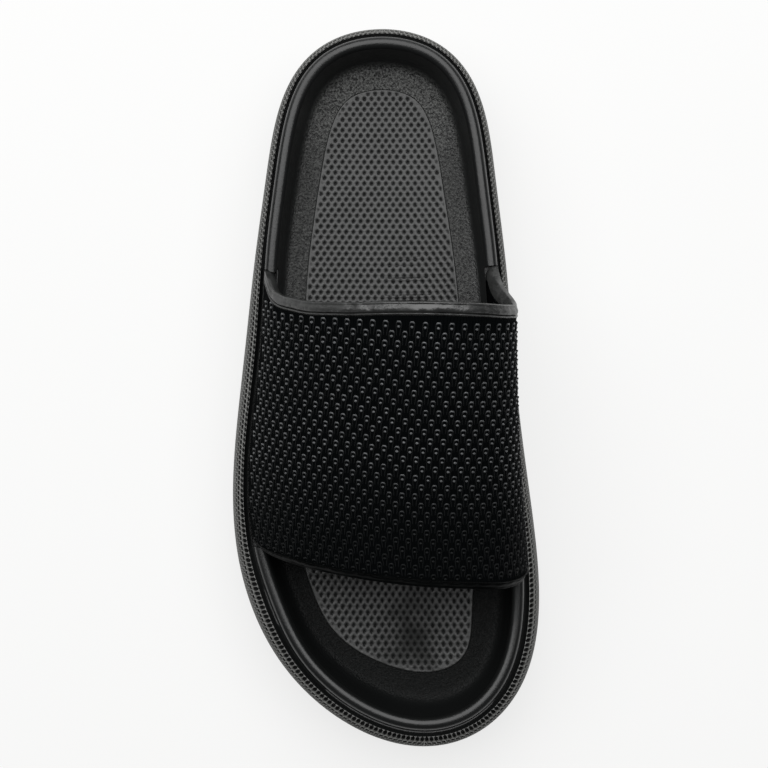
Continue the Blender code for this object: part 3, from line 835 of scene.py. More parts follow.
def pressed_pits_tree():
    """Presses staggered oval pits into a surface that carries its cells as attributes."""
    number = "NodeSocketFloat"
    inputs = [
        ("Surface", "NodeSocketGeometry", None),
        ("Pit Half Width", number, 0.36),
        ("Pit Half Length", number, 0.36),
        ("Pit Depth", number, 0.0007),
        ("Wall Softness", number, 0.8),
        ("Depth Variation", number, 0.2),
        ("Seed", number, 1.0),
        ("Finish", "NodeSocketMaterial", None),
    ]
    outputs = [("Surface", "NodeSocketGeometry", None)]
    tree, start, end = new_group("pressed_pits", "GeometryNodeTree", inputs, outputs)
    across = read_named(tree, "cell_across")
    along = read_named(tree, "cell_along")
    room = read_named(tree, "pit_room")
    row = tree.math("ROUND", along)
    shift = tree.math("MULTIPLY", tree.math("FLOORED_MODULO", row, 2.0), 0.5)
    from_shift = tree.math("SUBTRACT", across, shift)
    cell = tree.math("ROUND", from_shift)
    off_across = tree.math("DIVIDE", tree.math("SUBTRACT", from_shift, cell), start["Pit Half Width"])
    off_along = tree.math("DIVIDE", tree.math("SUBTRACT", along, row), start["Pit Half Length"])
    squares = tree.math("ADD", tree.math("POWER", off_across, 2.0), tree.math("POWER", off_along, 2.0))
    from_edge = tree.math("SUBTRACT", 1.0, tree.math("SQRT", squares))
    inside = tree.ramp(from_edge, 0.0, start["Wall Softness"])
    place = tree.node("ShaderNodeCombineXYZ", {0: row, 1: cell, 2: start["Seed"]}).outputs[0]
    noise = tree.node("ShaderNodeTexWhiteNoise", {"Vector": place}, noise_dimensions="3D")
    vary = tree.math("MULTIPLY", noise.outputs["Value"], start["Depth Variation"])
    depth = tree.math("MULTIPLY", tree.math("SUBTRACT", 1.0, vary), start["Pit Depth"])
    depth = tree.math("MULTIPLY", tree.math("MULTIPLY", depth, inside), room)
    normal = tree.node("GeometryNodeInputNormal").outputs["Normal"]
    values = {0: normal, "Scale": tree.math("MULTIPLY", depth, -1.0)}
    move = tree.node("ShaderNodeVectorMath", values, operation="SCALE").outputs[0]
    values = {"Name": "pit", "Geometry": start["Surface"], "Value": tree.math("MULTIPLY", inside, room)}
    keep = tree.node("GeometryNodeStoreNamedAttribute", values, data_type="FLOAT", domain="POINT")
    values = {"Geometry": keep.outputs["Geometry"], "Offset": move}
    pressed = tree.node("GeometryNodeSetPosition", values).outputs["Geometry"]
    finish_tree(tree, pressed, start["Finish"], end[0])
    return tree.tree


def set_loops_tree():
    """Sets one loop on each point, turned to the strap's face and scaled to its column."""
    inputs = [
        ("Places", "NodeSocketGeometry", None),
        ("Loop", "NodeSocketObject", None),
        ("Loop Size", "NodeSocketFloat", 1.0),
        ("Size Variation", "NodeSocketFloat", 0.1),
        ("Seed", "NodeSocketInt", 3),
        ("Finish", "NodeSocketMaterial", None),
    ]
    outputs = [("Loops", "NodeSocketGeometry", None)]
    tree, start, end = new_group("set_loops", "GeometryNodeTree", inputs, outputs)
    vector = "FLOAT_VECTOR"
    values = {0: read_named(tree, "face_out", vector), 1: read_named(tree, "to_heel", vector)}
    turn = tree.node("FunctionNodeAxesToRotation", values, primary_axis="Z", secondary_axis="Y")
    loop = tree.node("GeometryNodeObjectInfo", {"Object": start["Loop"]}).outputs["Geometry"]
    vary = tree.node("FunctionNodeRandomValue", {"Seed": start["Seed"]}, data_type="FLOAT")
    low, high = [socket for socket in vary.inputs if socket.type == "VALUE"][:2]
    tree.link(tree.math("SUBTRACT", 1.0, start["Size Variation"]), low)
    tree.link(1.0, high)
    chance = [socket for socket in vary.outputs if socket.type == "VALUE"][0]
    share = tree.math("MULTIPLY", chance, start["Loop Size"])
    values = {0: read_named(tree, "size", vector), "Scale": share}
    size = tree.node("ShaderNodeVectorMath", values, operation="SCALE").outputs[0]
    values = {"Points": start["Places"], "Instance": loop, "Rotation": turn.outputs[0], "Scale": size}
    instances = tree.node("GeometryNodeInstanceOnPoints", values).outputs["Instances"]
    finish_tree(tree, instances, start["Finish"], end[0])
    return tree.tree


def finish_tree(tree, geometry, finish, end):
    """Realize what is set, give it its material and end the tree."""
    real = tree.node("GeometryNodeRealizeInstances", {"Geometry": geometry})
    values = {"Geometry": real.outputs["Geometry"], "Material": finish}
    tree.link(tree.node("GeometryNodeSetMaterial", values).outputs["Geometry"], end)


def keep_modified(obj, modifier):
    """Keep a modifier's result as the object's plain mesh, without the modifier."""
    bpy.context.view_layer.update()
    evaluated = obj.evaluated_get(bpy.context.evaluated_depsgraph_get())
    mesh = bpy.data.meshes.new_from_object(evaluated)
    obj.modifiers.remove(modifier)
    old = obj.data
    obj.data = mesh
    mesh.name = obj.name
    bpy.data.meshes.remove(old)
    return mesh


def through_tree(obj, tree, values):
    """Run an object through a geometry tree and keep the result as a plain mesh."""
    modifier = obj.modifiers.new(tree.name, "NODES")
    modifier.node_group = tree
    for item in tree.interface.items_tree:
        if item.item_type == "SOCKET" and item.in_out == "INPUT" and item.name in values:
            modifier[item.identifier] = values[item.name]
    keep_modified(obj, modifier).shade_smooth()
    return obj


# Materials


def fine_grain_group():
    """Moulded foam's fine pebbled grain and a slow mottle: a height and a mask."""
    number = "NodeSocketFloat"
    inputs = [("Grain Size", number, 0.0006), ("Mottle Size", number, 0.02)]
    outputs = [("Height", number, None), ("Mottle", number, None)]
    tree, start, end = new_group("fine_grain", "ShaderNodeTree", inputs, outputs)
    place = tree.node("ShaderNodeTexCoord").outputs["Object"]
    tree.link(tree.noise(place, start["Grain Size"], 3.0, 0.6), end["Height"])
    mottle = tree.noise(place, start["Mottle Size"], 4.0, 0.5)
    tree.link(tree.ramp(mottle, 0.3, 0.7), end["Mottle"])
    return tree.tree


class Finish:
    """A material with one Principled shader, filled by short calls."""

    def __init__(self, name, colour, roughness, specular):
        self.material = bpy.data.materials.new(name)
        self.material.use_nodes = True
        self.tree = Tree(self.material.node_tree)
        self.inputs = self.material.node_tree.nodes["Principled BSDF"].inputs
        self.put(Base_Color=(*colour, 1.0), Roughness=roughness, Specular_IOR_Level=specular)
        self.material.diffuse_color = (*colour, 1.0)
        self.normal = None

    def put(self, **values):
        """Set or drive the shader's inputs, whose names have a low line for each space."""
        for label, value in values.items():
            self.tree.link(value, self.inputs[label.replace("_", " ")])

    def grain(self, group, grain_size, mottle_size):
        """Place the shared grain and return its outputs."""
        values = {"Grain Size": grain_size, "Mottle Size": mottle_size}
        return self.tree.node("ShaderNodeGroup", values, node_tree=group).outputs

    def colours(self, mask, first, second):
        """Blend two colours by a mask into the base colour."""
        values = {"Factor": mask, 6: (*first, 1.0), 7: (*second, 1.0)}
        mix = self.tree.node("ShaderNodeMix", values, data_type="RGBA")
        self.put(Base_Color=mix.outputs[2])

    def mottled(self, mottle, low, high):
        """A value that runs between two others by the mottle."""
        return self.tree.ramp(mottle, 0.0, 1.0, low, high)

    def bump(self, height, depth):
        """Add a bump of a height in metres, over any earlier one."""
        values = {"Strength": 1.0, "Distance": depth, "Height": height}
        if self.normal is not None:
            values["Normal"] = self.normal
        self.normal = self.tree.node("ShaderNodeBump", values).outputs["Normal"]
        self.put(Normal=self.normal)

    def attribute(self, name, output="Fac"):
        """A named number or vector of the mesh."""
        return self.tree.node("ShaderNodeAttribute", attribute_name=name).outputs[output]

    def place(self):
        """The place on the object, in metres."""
        return self.tree.node("ShaderNodeTexCoord").outputs["Object"]

    def part(self, vector, axis):
        """One part of a vector, by the name of its axis."""
        return self.tree.node("ShaderNodeSeparateXYZ", {0: vector}).outputs[axis]

    def heelward(self, fade, least):
        """A mask that grows from its least value to 1 between two places along the shoe."""
        return self.tree.ramp(self.part(self.place(), "Y"), *fade, least, 1.0)


def rim_foam(grain, name, gloss, crest_highlight_colour):
    """Smooth moulded foam of the bead, the bowl and the tread, with a hide-like grain round the panel whose
    crests carry a painted highlight; the toe bowl's copy has dark crests and little gloss as painted shade
    of the strap.
    """
    finish = Finish(name, FOAM, 0.5, gloss)
    tree = finish.tree
    out = finish.grain(grain, 0.0008, 0.03)
    grained = finish.attribute("grained")
    # Painted highlight: the grain's crests are lightened, fully at the heel and less towards the toes,
    # where less of the lamp's light falls.
    lit_crests = tree.math("MULTIPLY", grained, finish.heelward(CREST_HIGHLIGHT_FADE, CREST_HIGHLIGHT_LEAST))
    crest_highlight = tree.math("MULTIPLY", tree.ramp(out["Height"], 0.35, 0.65), lit_crests)
    finish.colours(crest_highlight, FOAM_GROUND, crest_highlight_colour)
    dull = tree.math("MULTIPLY", grained, 0.12)
    finish.put(Roughness=tree.math("ADD", finish.mottled(out["Mottle"], 0.28, 0.36), dull))
    finish.bump(tree.math("MULTIPLY", out["Height"], grained), LEATHER_DEPTH)
    finish.bump(out["Height"], 0.00006)
    return finish.material


def net_foam(grain):
    """Foam of the netted side, with a painted highlight on its ribs and painted shade in its pits."""
    finish = Finish("net_foam", NET, 0.6, 0.1)
    out = finish.grain(grain, 0.0005, 0.02)
    pit = finish.attribute("pit")
    # Ribs get the painted highlight colour and pits the painted shade colour.
    finish.colours(finish.tree.ramp(pit, 0.05, 0.6), NET_RIB_HIGHLIGHT, NET_PIT_SHADE)
    finish.put(Coat_Weight=finish.tree.ramp(pit, 0.05, 0.6, 1.0, 0.0), Coat_Roughness=0.40)
    finish.put(Roughness=finish.mottled(out["Mottle"], 0.5, 0.7))
    finish.bump(out["Height"], 0.00010)
    return finish.material


def panel_foam(grain):
    """Dimpled insole panel, charcoal with painted shade in its dimples and a dull smudge under the toes."""
    finish = Finish("panel_foam", PANEL, 0.6, 0.1)
    tree = finish.tree
    out = finish.grain(grain, 0.0005, 0.012)
    pit = finish.attribute("pit")
    # Dimples darker than the panel's top: painted shade in them.
    finish.colours(tree.ramp(pit, 0.1, 0.7), PANEL_TOP, PANEL_DIMPLE_SHADE)
    values = {0: finish.place(), 1: SMUDGE_MIDDLE}
    away = tree.node("ShaderNodeVectorMath", values, operation="DISTANCE").outputs["Value"]
    clean = tree.math("ADD", away, tree.math("MULTIPLY", out["Mottle"], SMUDGE_RAGGED))
    clean = tree.ramp(clean, *SMUDGE_FADE, SMUDGE_GLOSS, 1.0)
    gloss = tree.math("MULTIPLY", tree.ramp(pit, 0.15, 0.7, 1.0, 0.12), clean)
    finish.put(Coat_Weight=gloss, Coat_Roughness=0.42)
    finish.put(Roughness=finish.mottled(out["Mottle"], 0.5, 0.65))
    finish.bump(out["Height"], 0.00012)
    return finish.material


def strap_knit(grain):
    """Deep black ribbed wall between the loops."""
    finish = Finish("knit_wall", KNIT, 0.9, 0.02)
    out = finish.grain(grain, 0.0004, 0.01)
    column = finish.part(finish.attribute("knit", "Vector"), "X")
    wave = finish.tree.math("SINE", finish.tree.math("MULTIPLY", column, KNIT_RIBS * 2 * math.pi))
    finish.bump(finish.tree.ramp(wave, -1.0, 1.0), 0.00030)
    finish.bump(out["Height"], 0.00012)
    return finish.material


def loop_rubber(grain):
    """The loops of the strap: dull black, lightened and glossy on their tops as a painted highlight, less
    so to the front.
    """
    finish = Finish("loop_rubber", LOOPS, 0.65, 0.12)
    tree = finish.tree
    out = finish.grain(grain, 0.0004, 0.012)
    # Painted highlight: the loops' tops are lightened, less towards the front, which faces away from the
    # lamp.
    highlight_mask = tree.math("MULTIPLY", finish.attribute("worn"), finish.mottled(out["Mottle"], 0.7, 1.0))
    highlight_mask = tree.math("MULTIPLY", highlight_mask, finish.heelward(LOOP_HIGHLIGHT_FADE, LOOP_HIGHLIGHT_LEAST))
    finish.colours(highlight_mask, LOOPS, LOOPS_HIGHLIGHT)
    finish.put(Coat_Weight=highlight_mask, Coat_Roughness=0.30)
    finish.bump(out["Height"], 0.00004)
    return finish.material


def trim_rubber(grain, name, colour, gloss, waves):
    """Smooth semi-gloss rubber of the strap's trims; the front trim's copy is darker and duller, as painted
    shade.
    """
    finish = Finish(name, colour, 0.38, gloss)
    out = finish.grain(grain, 0.0010, 0.006)
    finish.colours(out["Mottle"], [0.75 * part for part in colour], [1.25 * part for part in colour])
    finish.put(Roughness=finish.mottled(out["Mottle"], 0.32, 0.46))
    finish.bump(out["Mottle"], waves)
    finish.bump(out["Height"], 0.00006)
    return finish.material


# Pieces


def dress(obj, slot, *nodes):
    """Give a piece its body and hide the nodes that it stands for; the slot is not used."""
    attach(obj, "root")
    if nodes:
        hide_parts(*nodes)


def sole_body(foam, toe_shaded_foam):
    """Bead, ledge, bowl and tread of the sole, with a recessed side behind the net."""
    at = round_stations(BODY_STATIONS)
    outer = at.side_rows()
    backing = at.backing_rows(NET_BACKING + FIT)
    rows = [outer[0], outer[NET_FROM], *backing]
    upper = outer[NET_TO:]
    for angle in range(180, -1, -BEAD_TURN):
        turn = math.radians(angle)
        inset = at.bead + math.cos(turn) * BEAD_WIDTH / 2
        upper.append(at.ring(inset, at.rim + (math.sin(turn) - 1) * BEAD_WIDTH / 2))
    lip = at.on_bed(at.panel, 0.0)
    inner = at.bead + BEAD_WIDTH / 2
    edge = at.rim - BEAD_WIDTH / 2
    for _, inset, down in BOWL:
        upper.append(at.ring(inner + inset * (at.panel - inner), edge + down * (lip[:, 2] - edge)))
    upper.append(lip)
    rows += dense_rows(upper, BODY_STEPS)
    seat = INSOLE_THICKNESS - INSOLE_PROUD + FIT
    rows.append(at.on_bed(at.panel, -seat))
    shell = Shell()
    loops = [shell.add(row) for row in rows]
    shell.strips(loops, closed=True)
    shell.fill(loops[0], BODY_FILL, lambda x, y: tread_height(y))
    shell.fill(loops[-1], BODY_FILL, lambda x, y: bed_height(x, y) - seat)
    body = new_object("sole_body", shell.points, shell.faces)
    lip_row = len(rows) - 2
    fade = [lip_row - 3 * BODY_STEPS, lip_row - 1.5 * BODY_STEPS]
    grained = np.interp(np.arange(len(rows)), fade, [0.0, 1.0])
    put_numbers(body, "grained", np.repeat(grained, 2 * BODY_STATIONS))
    in_bowl = np.arange(len(rows)) >= lip_row - (len(BOWL) + 1) * BODY_STEPS
    put_numbers(body, "in_bowl", np.repeat(in_bowl, 2 * BODY_STATIONS), 1.0)
    cutters = Shell()
    add_pocket(cutters, 0.0, POCKET_REACH)
    add_pocket(cutters, 1.0, 1 - POCKET_REACH)
    for y in groove_places():
        add_groove(cutters, y)
    cut_away(body, new_object("sole_cutters", cutters.points, cutters.faces))
    body.data.materials.clear()
    for material in (foam, toe_shaded_foam):
        body.data.materials.append(material)
    room = body.data.attributes["in_bowl"].data
    # Bowl faces towards the toes take the darker, duller copy of the foam as painted shade of the strap.
    for face in body.data.polygons:
        inside = min(room[vertex].value for vertex in face.vertices) > 0.5
        to_toes = face.center.y < TOE_BOWL_FROM and face.center.z > BED_HEIGHT / 2
        face.material_index = 1 if inside and to_toes else 0
    return body


def add_pocket(shell, u_from, u_to):
    """The room that one foot of the strap takes out of the rim, with a shadow gap outside."""
    u = np.concatenate([np.linspace(u_to, u_from, POCKET_STEPS + 1), np.full(ROOT_ROWS, u_from)])
    root = (SEAT_DEPTH + FIT) * np.arange(1, ROOT_ROWS + 1) / ROOT_ROWS
    drop = np.concatenate([np.zeros(POCKET_STEPS + 1), root])
    outer, inner = [], []
    for this_u, this_drop in zip(u, drop):
        reach = np.linspace(-FIT, strap_length_at(this_u) + FIT, POCKET_ROWS + 1)
        for rows, depth in ((outer, -SHADOW_GAP), (inner, wall_at(this_u) + FIT)):
            rows.append(shell.add(strap_point(this_u, this_drop, reach, np.full(POCKET_ROWS + 1, depth))))
    close_slab(shell, outer, inner)


def close_slab(shell, outer, inner):
    """Join two grids of equal size into a closed slab."""
    shell.strips(outer)
    shell.strips(inner)
    for end in (0, -1):
        shell.strip(outer[end], inner[end])
        shell.strip([row[end] for row in outer], [row[end] for row in inner])


def groove_places():
    """The y of each tread groove: a run under the forefoot and a run under the heel."""
    places = []
    for low, high in (FOREFOOT_GROOVES, HEEL_GROOVES):
        count = int((high - low) * SOLE_LENGTH / GROOVE_PITCH)
        middle = (low + high) / 2 * SOLE_LENGTH
        places += [middle + (k - count / 2) * GROOVE_PITCH for k in range(count + 1)]
    return places


def add_groove(shell, y):
    """One bowed groove across the tread, which ends inside the tread's edge."""
    ends = []
    for side, sign in (("lateral", 1), ("medial", -1)):
        at = Stations([(side, np.linspace(0.0, 1.0, BODY_STATIONS + 1))])
        inside = at.ring(TREAD_INSET, 0.0)[::-1]
        ends.append(np.interp(y, inside[:, 1], inside[:, 0]) + sign * GROOVE_END_WALL)
    share = np.linspace(0.0, 1.0, GROOVE_STEPS + 1)
    x = ends[0] + (ends[1] - ends[0]) * share
    middle = y + GROOVE_BOW * (1 - (2 * share - 1) ** 2)
    mouth, floor = GROOVE_WIDTH / 2, GROOVE_WIDTH / 2 * GROOVE_FLOOR
    top = tread_height(middle) + GROOVE_DEPTH
    low = np.full_like(top, -GROOVE_DEPTH)
    corners = [(middle - mouth, low), (middle + mouth, low), (middle + floor, top), (middle - floor, top)]
    rows = [np.column_stack([x, across, height]) for across, height in corners]
    loops = [shell.add([row[k] for row in rows]) for k in range(len(share))]
    shell.tube(loops)


def cut_away(obj, cutter):
    """Take the cutter's form out of an object and remove the cutter."""
    modifier = obj.modifiers.new("cut", "BOOLEAN")
    modifier.operation = "DIFFERENCE"
    modifier.solver = "EXACT"
    modifier.object = cutter
    keep_modified(obj, modifier).set_sharp_from_angle(angle=math.radians(SMOOTH_ANGLE))
    bpy.data.objects.remove(cutter, do_unlink=True)


def side_net(side, tree, material):
    """One half of the sole's netted side, whose top row grows from pits to slots round the toes."""
    cells = round(reach_of(HALVES[side][:, :2])[-1] / NET_PITCH)
    at = Stations([(side, np.linspace(0.0, 1.0, cells * NET_STEPS + 1))])
    low = np.arange(NET_ROWS * NET_STEPS) / NET_STEPS
    high = NET_ROWS + np.arange(SLOT_STEPS + 1) / SLOT_STEPS
    climb = np.concatenate([low, high])
    rows = np.array(at.side_rows()[NET_FROM:NET_TO + 1])
    reach = reach_of_rows(rows)
    grids = []
    for stretch in (SLOT_STRETCH, SLOT_STRETCH_TOE):
        height = np.where(climb > NET_ROWS, NET_ROWS + (climb - NET_ROWS) * stretch, climb)
        grids.append(smooth_through(height / (NET_ROWS + stretch) * reach[-1], reach, rows))
    toe = np.interp(-rows[0][:, 1], [-SLOT_FADE[0], -SLOT_FADE[1]], [0.0, 1.0])[None, :, None]
    grid = grids[0] * (1 - toe) + grids[1] * toe
    shell = Shell()
    outer = [shell.add(row) for row in grid]
    back = [shell.add(row) for row in at.backing_rows(NET_BACKING)]
    shell.strips(outer)
    shell.strips(back)
    shell.strip(outer[0], back[0])
    shell.strip(outer[-1], back[-1])
    for end in (0, -1):
        shell.faces.append(tuple(row[end] for row in outer + back[::-1]))
    obj = new_object("sole_side_" + side, shell.points, shell.faces)
    columns = np.arange(cells * NET_STEPS + 1) / NET_STEPS
    inside = np.ones((len(climb), len(columns)))
    inside[:, [0, -1]] = 0.0
    inside[[0, -1], :] = 0.0
    put_numbers(obj, "cell_across", np.broadcast_to(columns, inside.shape).ravel())
    put_numbers(obj, "cell_along", np.broadcast_to(climb[:, None] - 0.5, inside.shape).ravel())
    put_numbers(obj, "pit_room", inside.ravel())
    return through_tree(obj, tree, {**NET_PITS, "Finish": material})


def panel_rows():
    """The y of each row of dimples, which lie closer together at the heel than at the toes."""
    rows = [SOLE_LENGTH / 2]
    while rows[-1] > -SOLE_LENGTH / 2:
        share = 0.5 - rows[-1] / SOLE_LENGTH
        rows.append(rows[-1] - (DIMPLE_ROW_HEEL + (DIMPLE_ROW_TOE - DIMPLE_ROW_HEEL) * share))
    return np.array(rows)


def insole_panel(tree, material):
    """The insole panel with its rounded border and its staggered oval dimples."""
    at = round_stations(PANEL_BORDER)
    border = at.ring(at.panel + PANEL_GAP + INSOLE_ROUND, 0.0)[:, :2]
    lines = panel_rows()
    row_numbers = np.arange((len(lines) - 1) * DIMPLE_STEPS_ALONG + 1) / DIMPLE_STEPS_ALONG
    y_lines = np.interp(row_numbers, np.arange(len(lines)), lines)
    half = math.ceil(SOLE_WIDTH / 2 / DIMPLE_ACROSS)
    columns = np.arange(-half * DIMPLE_STEPS_ACROSS, half * DIMPLE_STEPS_ACROSS + 1) / DIMPLE_STEPS_ACROSS
    shape = (len(y_lines), len(columns))
    grid = np.broadcast_arrays(columns * DIMPLE_ACROSS, y_lines[:, None])
    flat = np.stack(grid, axis=-1).reshape(-1, 2)
    tree_of_border = KDTree(len(border))
    for index, (x, y) in enumerate(border):
        tree_of_border.insert((x, y, 0.0), index)
    tree_of_border.balance()
    nearest = np.array([tree_of_border.find((x, y, 0.0))[1] for x, y in flat])
    depth = np.sum((flat - border[nearest]) * at.inward[nearest], axis=1)
    outside = depth < DIMPLE_ACROSS / DIMPLE_STEPS_ACROSS / 4
    flat[outside] = border[nearest[outside]]
    number = np.arange(len(flat)).reshape(shape)
    corners = [number[:-1, :-1], number[1:, :-1], number[1:, 1:], number[:-1, 1:]]
    quads = np.stack(corners, axis=-1).reshape(-1, 4)
    quads = quads[~outside[quads].all(axis=1)]
    used, renumbered = np.unique(quads, return_inverse=True)
    points = np.column_stack([flat[used], bed_height(flat[used, 0], flat[used, 1]) + INSOLE_PROUD])
    obj = new_object("insole_panel", points, renumbered.reshape(quads.shape).tolist())
    put_numbers(obj, "cell_across", np.broadcast_to(columns, shape).ravel()[used])
    put_numbers(obj, "cell_along", np.broadcast_to(row_numbers[:, None], shape).ravel()[used])
    put_numbers(obj, "pit_room", np.clip((depth[used] - DIMPLE_BORDER) / DIMPLE_FADE, 0, 1))
    put_vectors(obj, "outwards", np.column_stack([-at.inward[nearest[used]], np.zeros(len(used))]))
    close_panel(obj)
    return through_tree(obj, tree, {**PANEL_PITS, "Finish": material})


def close_panel(obj):
    """Give the panel its rounded edge, its side and an underside that follows the footbed."""
    form = bmesh.new()
    form.from_mesh(obj.data)
    bmesh.ops.remove_doubles(form, verts=form.verts, dist=1e-7)
    bmesh.ops.dissolve_degenerate(form, edges=form.edges, dist=1e-7)
    if sum(face.normal.z for face in form.faces) < 0:
        bmesh.ops.reverse_faces(form, faces=form.faces)
    room = form.verts.layers.float["pit_room"]
    outwards = form.verts.layers.float_vector["outwards"]
    border = [edge for edge in form.edges if edge.is_boundary]
    under = INSOLE_THICKNESS - INSOLE_ROUND
    for outward, drop in ((0.7, 0.3 * INSOLE_ROUND), (0.3, 0.7 * INSOLE_ROUND), (0.0, under)):
        grown = bmesh.ops.extrude_edge_only(form, edges=border)["geom"]
        border = [item for item in grown if isinstance(item, bmesh.types.BMEdge)]
        for vert in {vert for edge in border for vert in edge.verts}:
            vert[room] = 0.0
            vert.co += vert[outwards] * outward * INSOLE_ROUND
            vert.co.z -= drop
    bottom = bmesh.ops.triangle_fill(form, use_beauty=True, edges=border)["geom"]
    inner = [item for item in bottom if isinstance(item, bmesh.types.BMEdge) and item not in set(border)]
    split = bmesh.ops.subdivide_edges(form, edges=inner, cuts=UNDERSIDE_CUTS)["geom_inner"]
    for vert in (item for item in split if isinstance(item, bmesh.types.BMVert)):
        vert[room] = 0.0
        vert.co.z = float(bed_height(vert.co.x, vert.co.y)) + INSOLE_PROUD - INSOLE_THICKNESS
    bmesh.ops.recalc_face_normals(form, faces=form.faces)
    form.to_mesh(obj.data)
    form.free()


def strap_wall(material):
    """The strap's wall between the trims, a closed band that carries the loops' columns as numbers."""
    u, drop = strap_columns(STRAP_STEPS)
    shell = Shell()
    cells = []
    outer, inner = [], []
    for row in range(STRAP_ROWS + 1):
        first = TRIM_REAR_WIDTH - FIT
        last = strap_length_at(u) - TRIM_FRONT_WIDTH + FIT
        distance = first + (last - first) * row / STRAP_ROWS
        v = distance / strap_length_at(u)
        for rows, depth in ((outer, np.zeros(len(u))), (inner, wall_at(u))):
            rows.append(shell.add(strap_point(u, drop, distance, depth)))
            cells.append(np.column_stack([loop_column(u, v), v, np.zeros(len(u))]))
    close_slab(shell, outer, inner)
    obj = new_object("strap_wall", shell.points, shell.faces, 60.0)
    put_vectors(obj, "knit", np.vstack(cells))
    obj.data.materials.append(material)
    return obj


def loop_element(material):
    """One loop: a flat-topped arch whose legs sink into the wall, and a low bead inside it."""
    shell = Shell()
    path = np.array([place for place, _, _ in LOOP_PATH]) * MM
    way = np.gradient(path, axis=0)
    rows = []
    worn = []
    for point, (_, size, highlight_share), ahead in zip(path, LOOP_PATH, way):
        across = np.array([ahead[1], -ahead[0], 0.0]) / math.hypot(ahead[0], ahead[1])
        section = [side * across + np.array([0.0, 0.0, up]) for side, up, _ in LOOP_SECTION]
        rows.append(shell.add([point + off * size * MM for off in section]))
        worn += [highlight_share * crest for _, _, crest in LOOP_SECTION]
    shell.tube(rows)
    turn = 2 * math.pi * np.arange(BEAD_SIDES) / BEAD_SIDES
    rings = []
    for across, along, up, highlight_share in LOOP_BEAD:
        x, y = np.cos(turn) * across, np.sin(turn) * along + BEAD_MIDDLE
        rings.append(shell.add(np.column_stack([x, y, np.full(BEAD_SIDES, up)]) * MM))
        worn += [highlight_share] * BEAD_SIDES
    shell.tube(rings)
    obj = new_object("loop_element", shell.points, shell.faces, 80.0)
    # Each point's share of the painted highlight on the loop's top
    put_numbers(obj, "worn", worn)
    obj.data.materials.append(material)
    obj.hide_render = True
    return obj


def strap_loops(tree, material):
    """All the loops of the strap, in staggered columns that draw together towards the front."""
    lines = np.array(LOOP_LINES)
    places, outs, heels, sizes, arches = [], [], [], [], []
    for row in range(-LOOP_ROWS_BEYOND, LOOP_ROWS + LOOP_ROWS_BEYOND):
        share = row / LOOP_ROWS
        share += ROW_EASING * share * (1 - share)
        loop = np.arange(-LOOP_COLUMNS_BEYOND, LOOP_COLUMNS + LOOP_COLUMNS_BEYOND)
        loop = loop + (0.5 if row % 2 else 0.0)
        v = np.full(len(loop), np.clip(share, 0.0, 1.0))
        for _ in range(LOOP_SETTLING):
            u = np.clip(column_share(loop, v), 0.0, 1.0)
            first = smooth_through(u, lines[:, 0], lines[:, 1])
            last = smooth_through(u, lines[:, 0], lines[:, 2])
            y = first * (1 - share) + last * share
            v = (strap_edge(u, True) - y) / strap_length_at(u)
        free = column_share(loop, v)
        from_rear = v * strap_length_at(u)
        from_front = (1 - v) * strap_length_at(u)
        good = (free > LOOP_FROM_FEET) & (free < 1 - LOOP_FROM_FEET)
        good &= from_rear > TRIM_REAR_WIDTH + LOOP_FROM_REAR
        good &= from_front > TRIM_FRONT_WIDTH + LOOP_FROM_FRONT
        u, v = u[good], v[good]
        place = strap_place(u, 0.0, v)
        beside = np.clip(column_share(loop[good] + 0.5, v), 0, 1)
        width = np.linalg.norm(strap_place(beside, 0.0, v) - place, axis=1) * 2
        places.append(place)
        arches.append(u)
        outs.append(strap_out(u, 0.0, v))
        heels.append(strap_place(u, 0.0, v - NORMAL_STEP) - place)
        scale = np.clip(width / LOOP_PITCH, *LOOP_WIDTHS)
        length = np.full(len(u), 1.0 - LOOP_SHORTENING * max(share, 0.0))
        sizes.append(np.column_stack([scale, length, np.ones(len(u))]))
    obj = put_in_scene("strap_loops", bpy.data.meshes.new("strap_loops"))
    obj.data.from_pydata(np.vstack(places).tolist(), [], [])
    put_vectors(obj, "face_out", np.vstack(outs))
    put_vectors(obj, "to_heel", np.vstack(heels))
    put_vectors(obj, "size", np.vstack(sizes))
    obj.data.materials.append(material)
    element = loop_element(material)
    joint = np.concatenate([strap_edge(u, False) for u in arches]) + TRIM_FRONT_WIDTH
    put_numbers(obj, "joint_line", joint)
    through_tree(obj, tree, {**LOOP_SETTING, "Loop": element, "Finish": material})
    bpy.data.objects.remove(element, do_unlink=True)
    tuck_under_trim(obj)
    return obj


def tuck_under_trim(obj):
    """Fold what reaches past the front trim's joint down into the wall."""
    mesh = obj.data
    count = len(mesh.vertices)
    places = np.empty(count * 3, dtype=np.float32)
    mesh.vertices.foreach_get("co", places)
    places = places.reshape(-1, 3)
    joint = np.empty(count, dtype=np.float32)
    mesh.attributes["joint_line"].data.foreach_get("value", joint)
    out = np.empty(count * 3, dtype=np.float32)
    mesh.attributes["face_out"].data.foreach_get("vector", out)
    past = joint - places[:, 1]
    over = past > 0
    places[over] -= out.reshape(-1, 3)[over] * TUCK_DEPTH
    places[over, 1] += past[over] * TUCK_SHARE
    mesh.vertices.foreach_set("co", places.ravel())
    mesh.update()


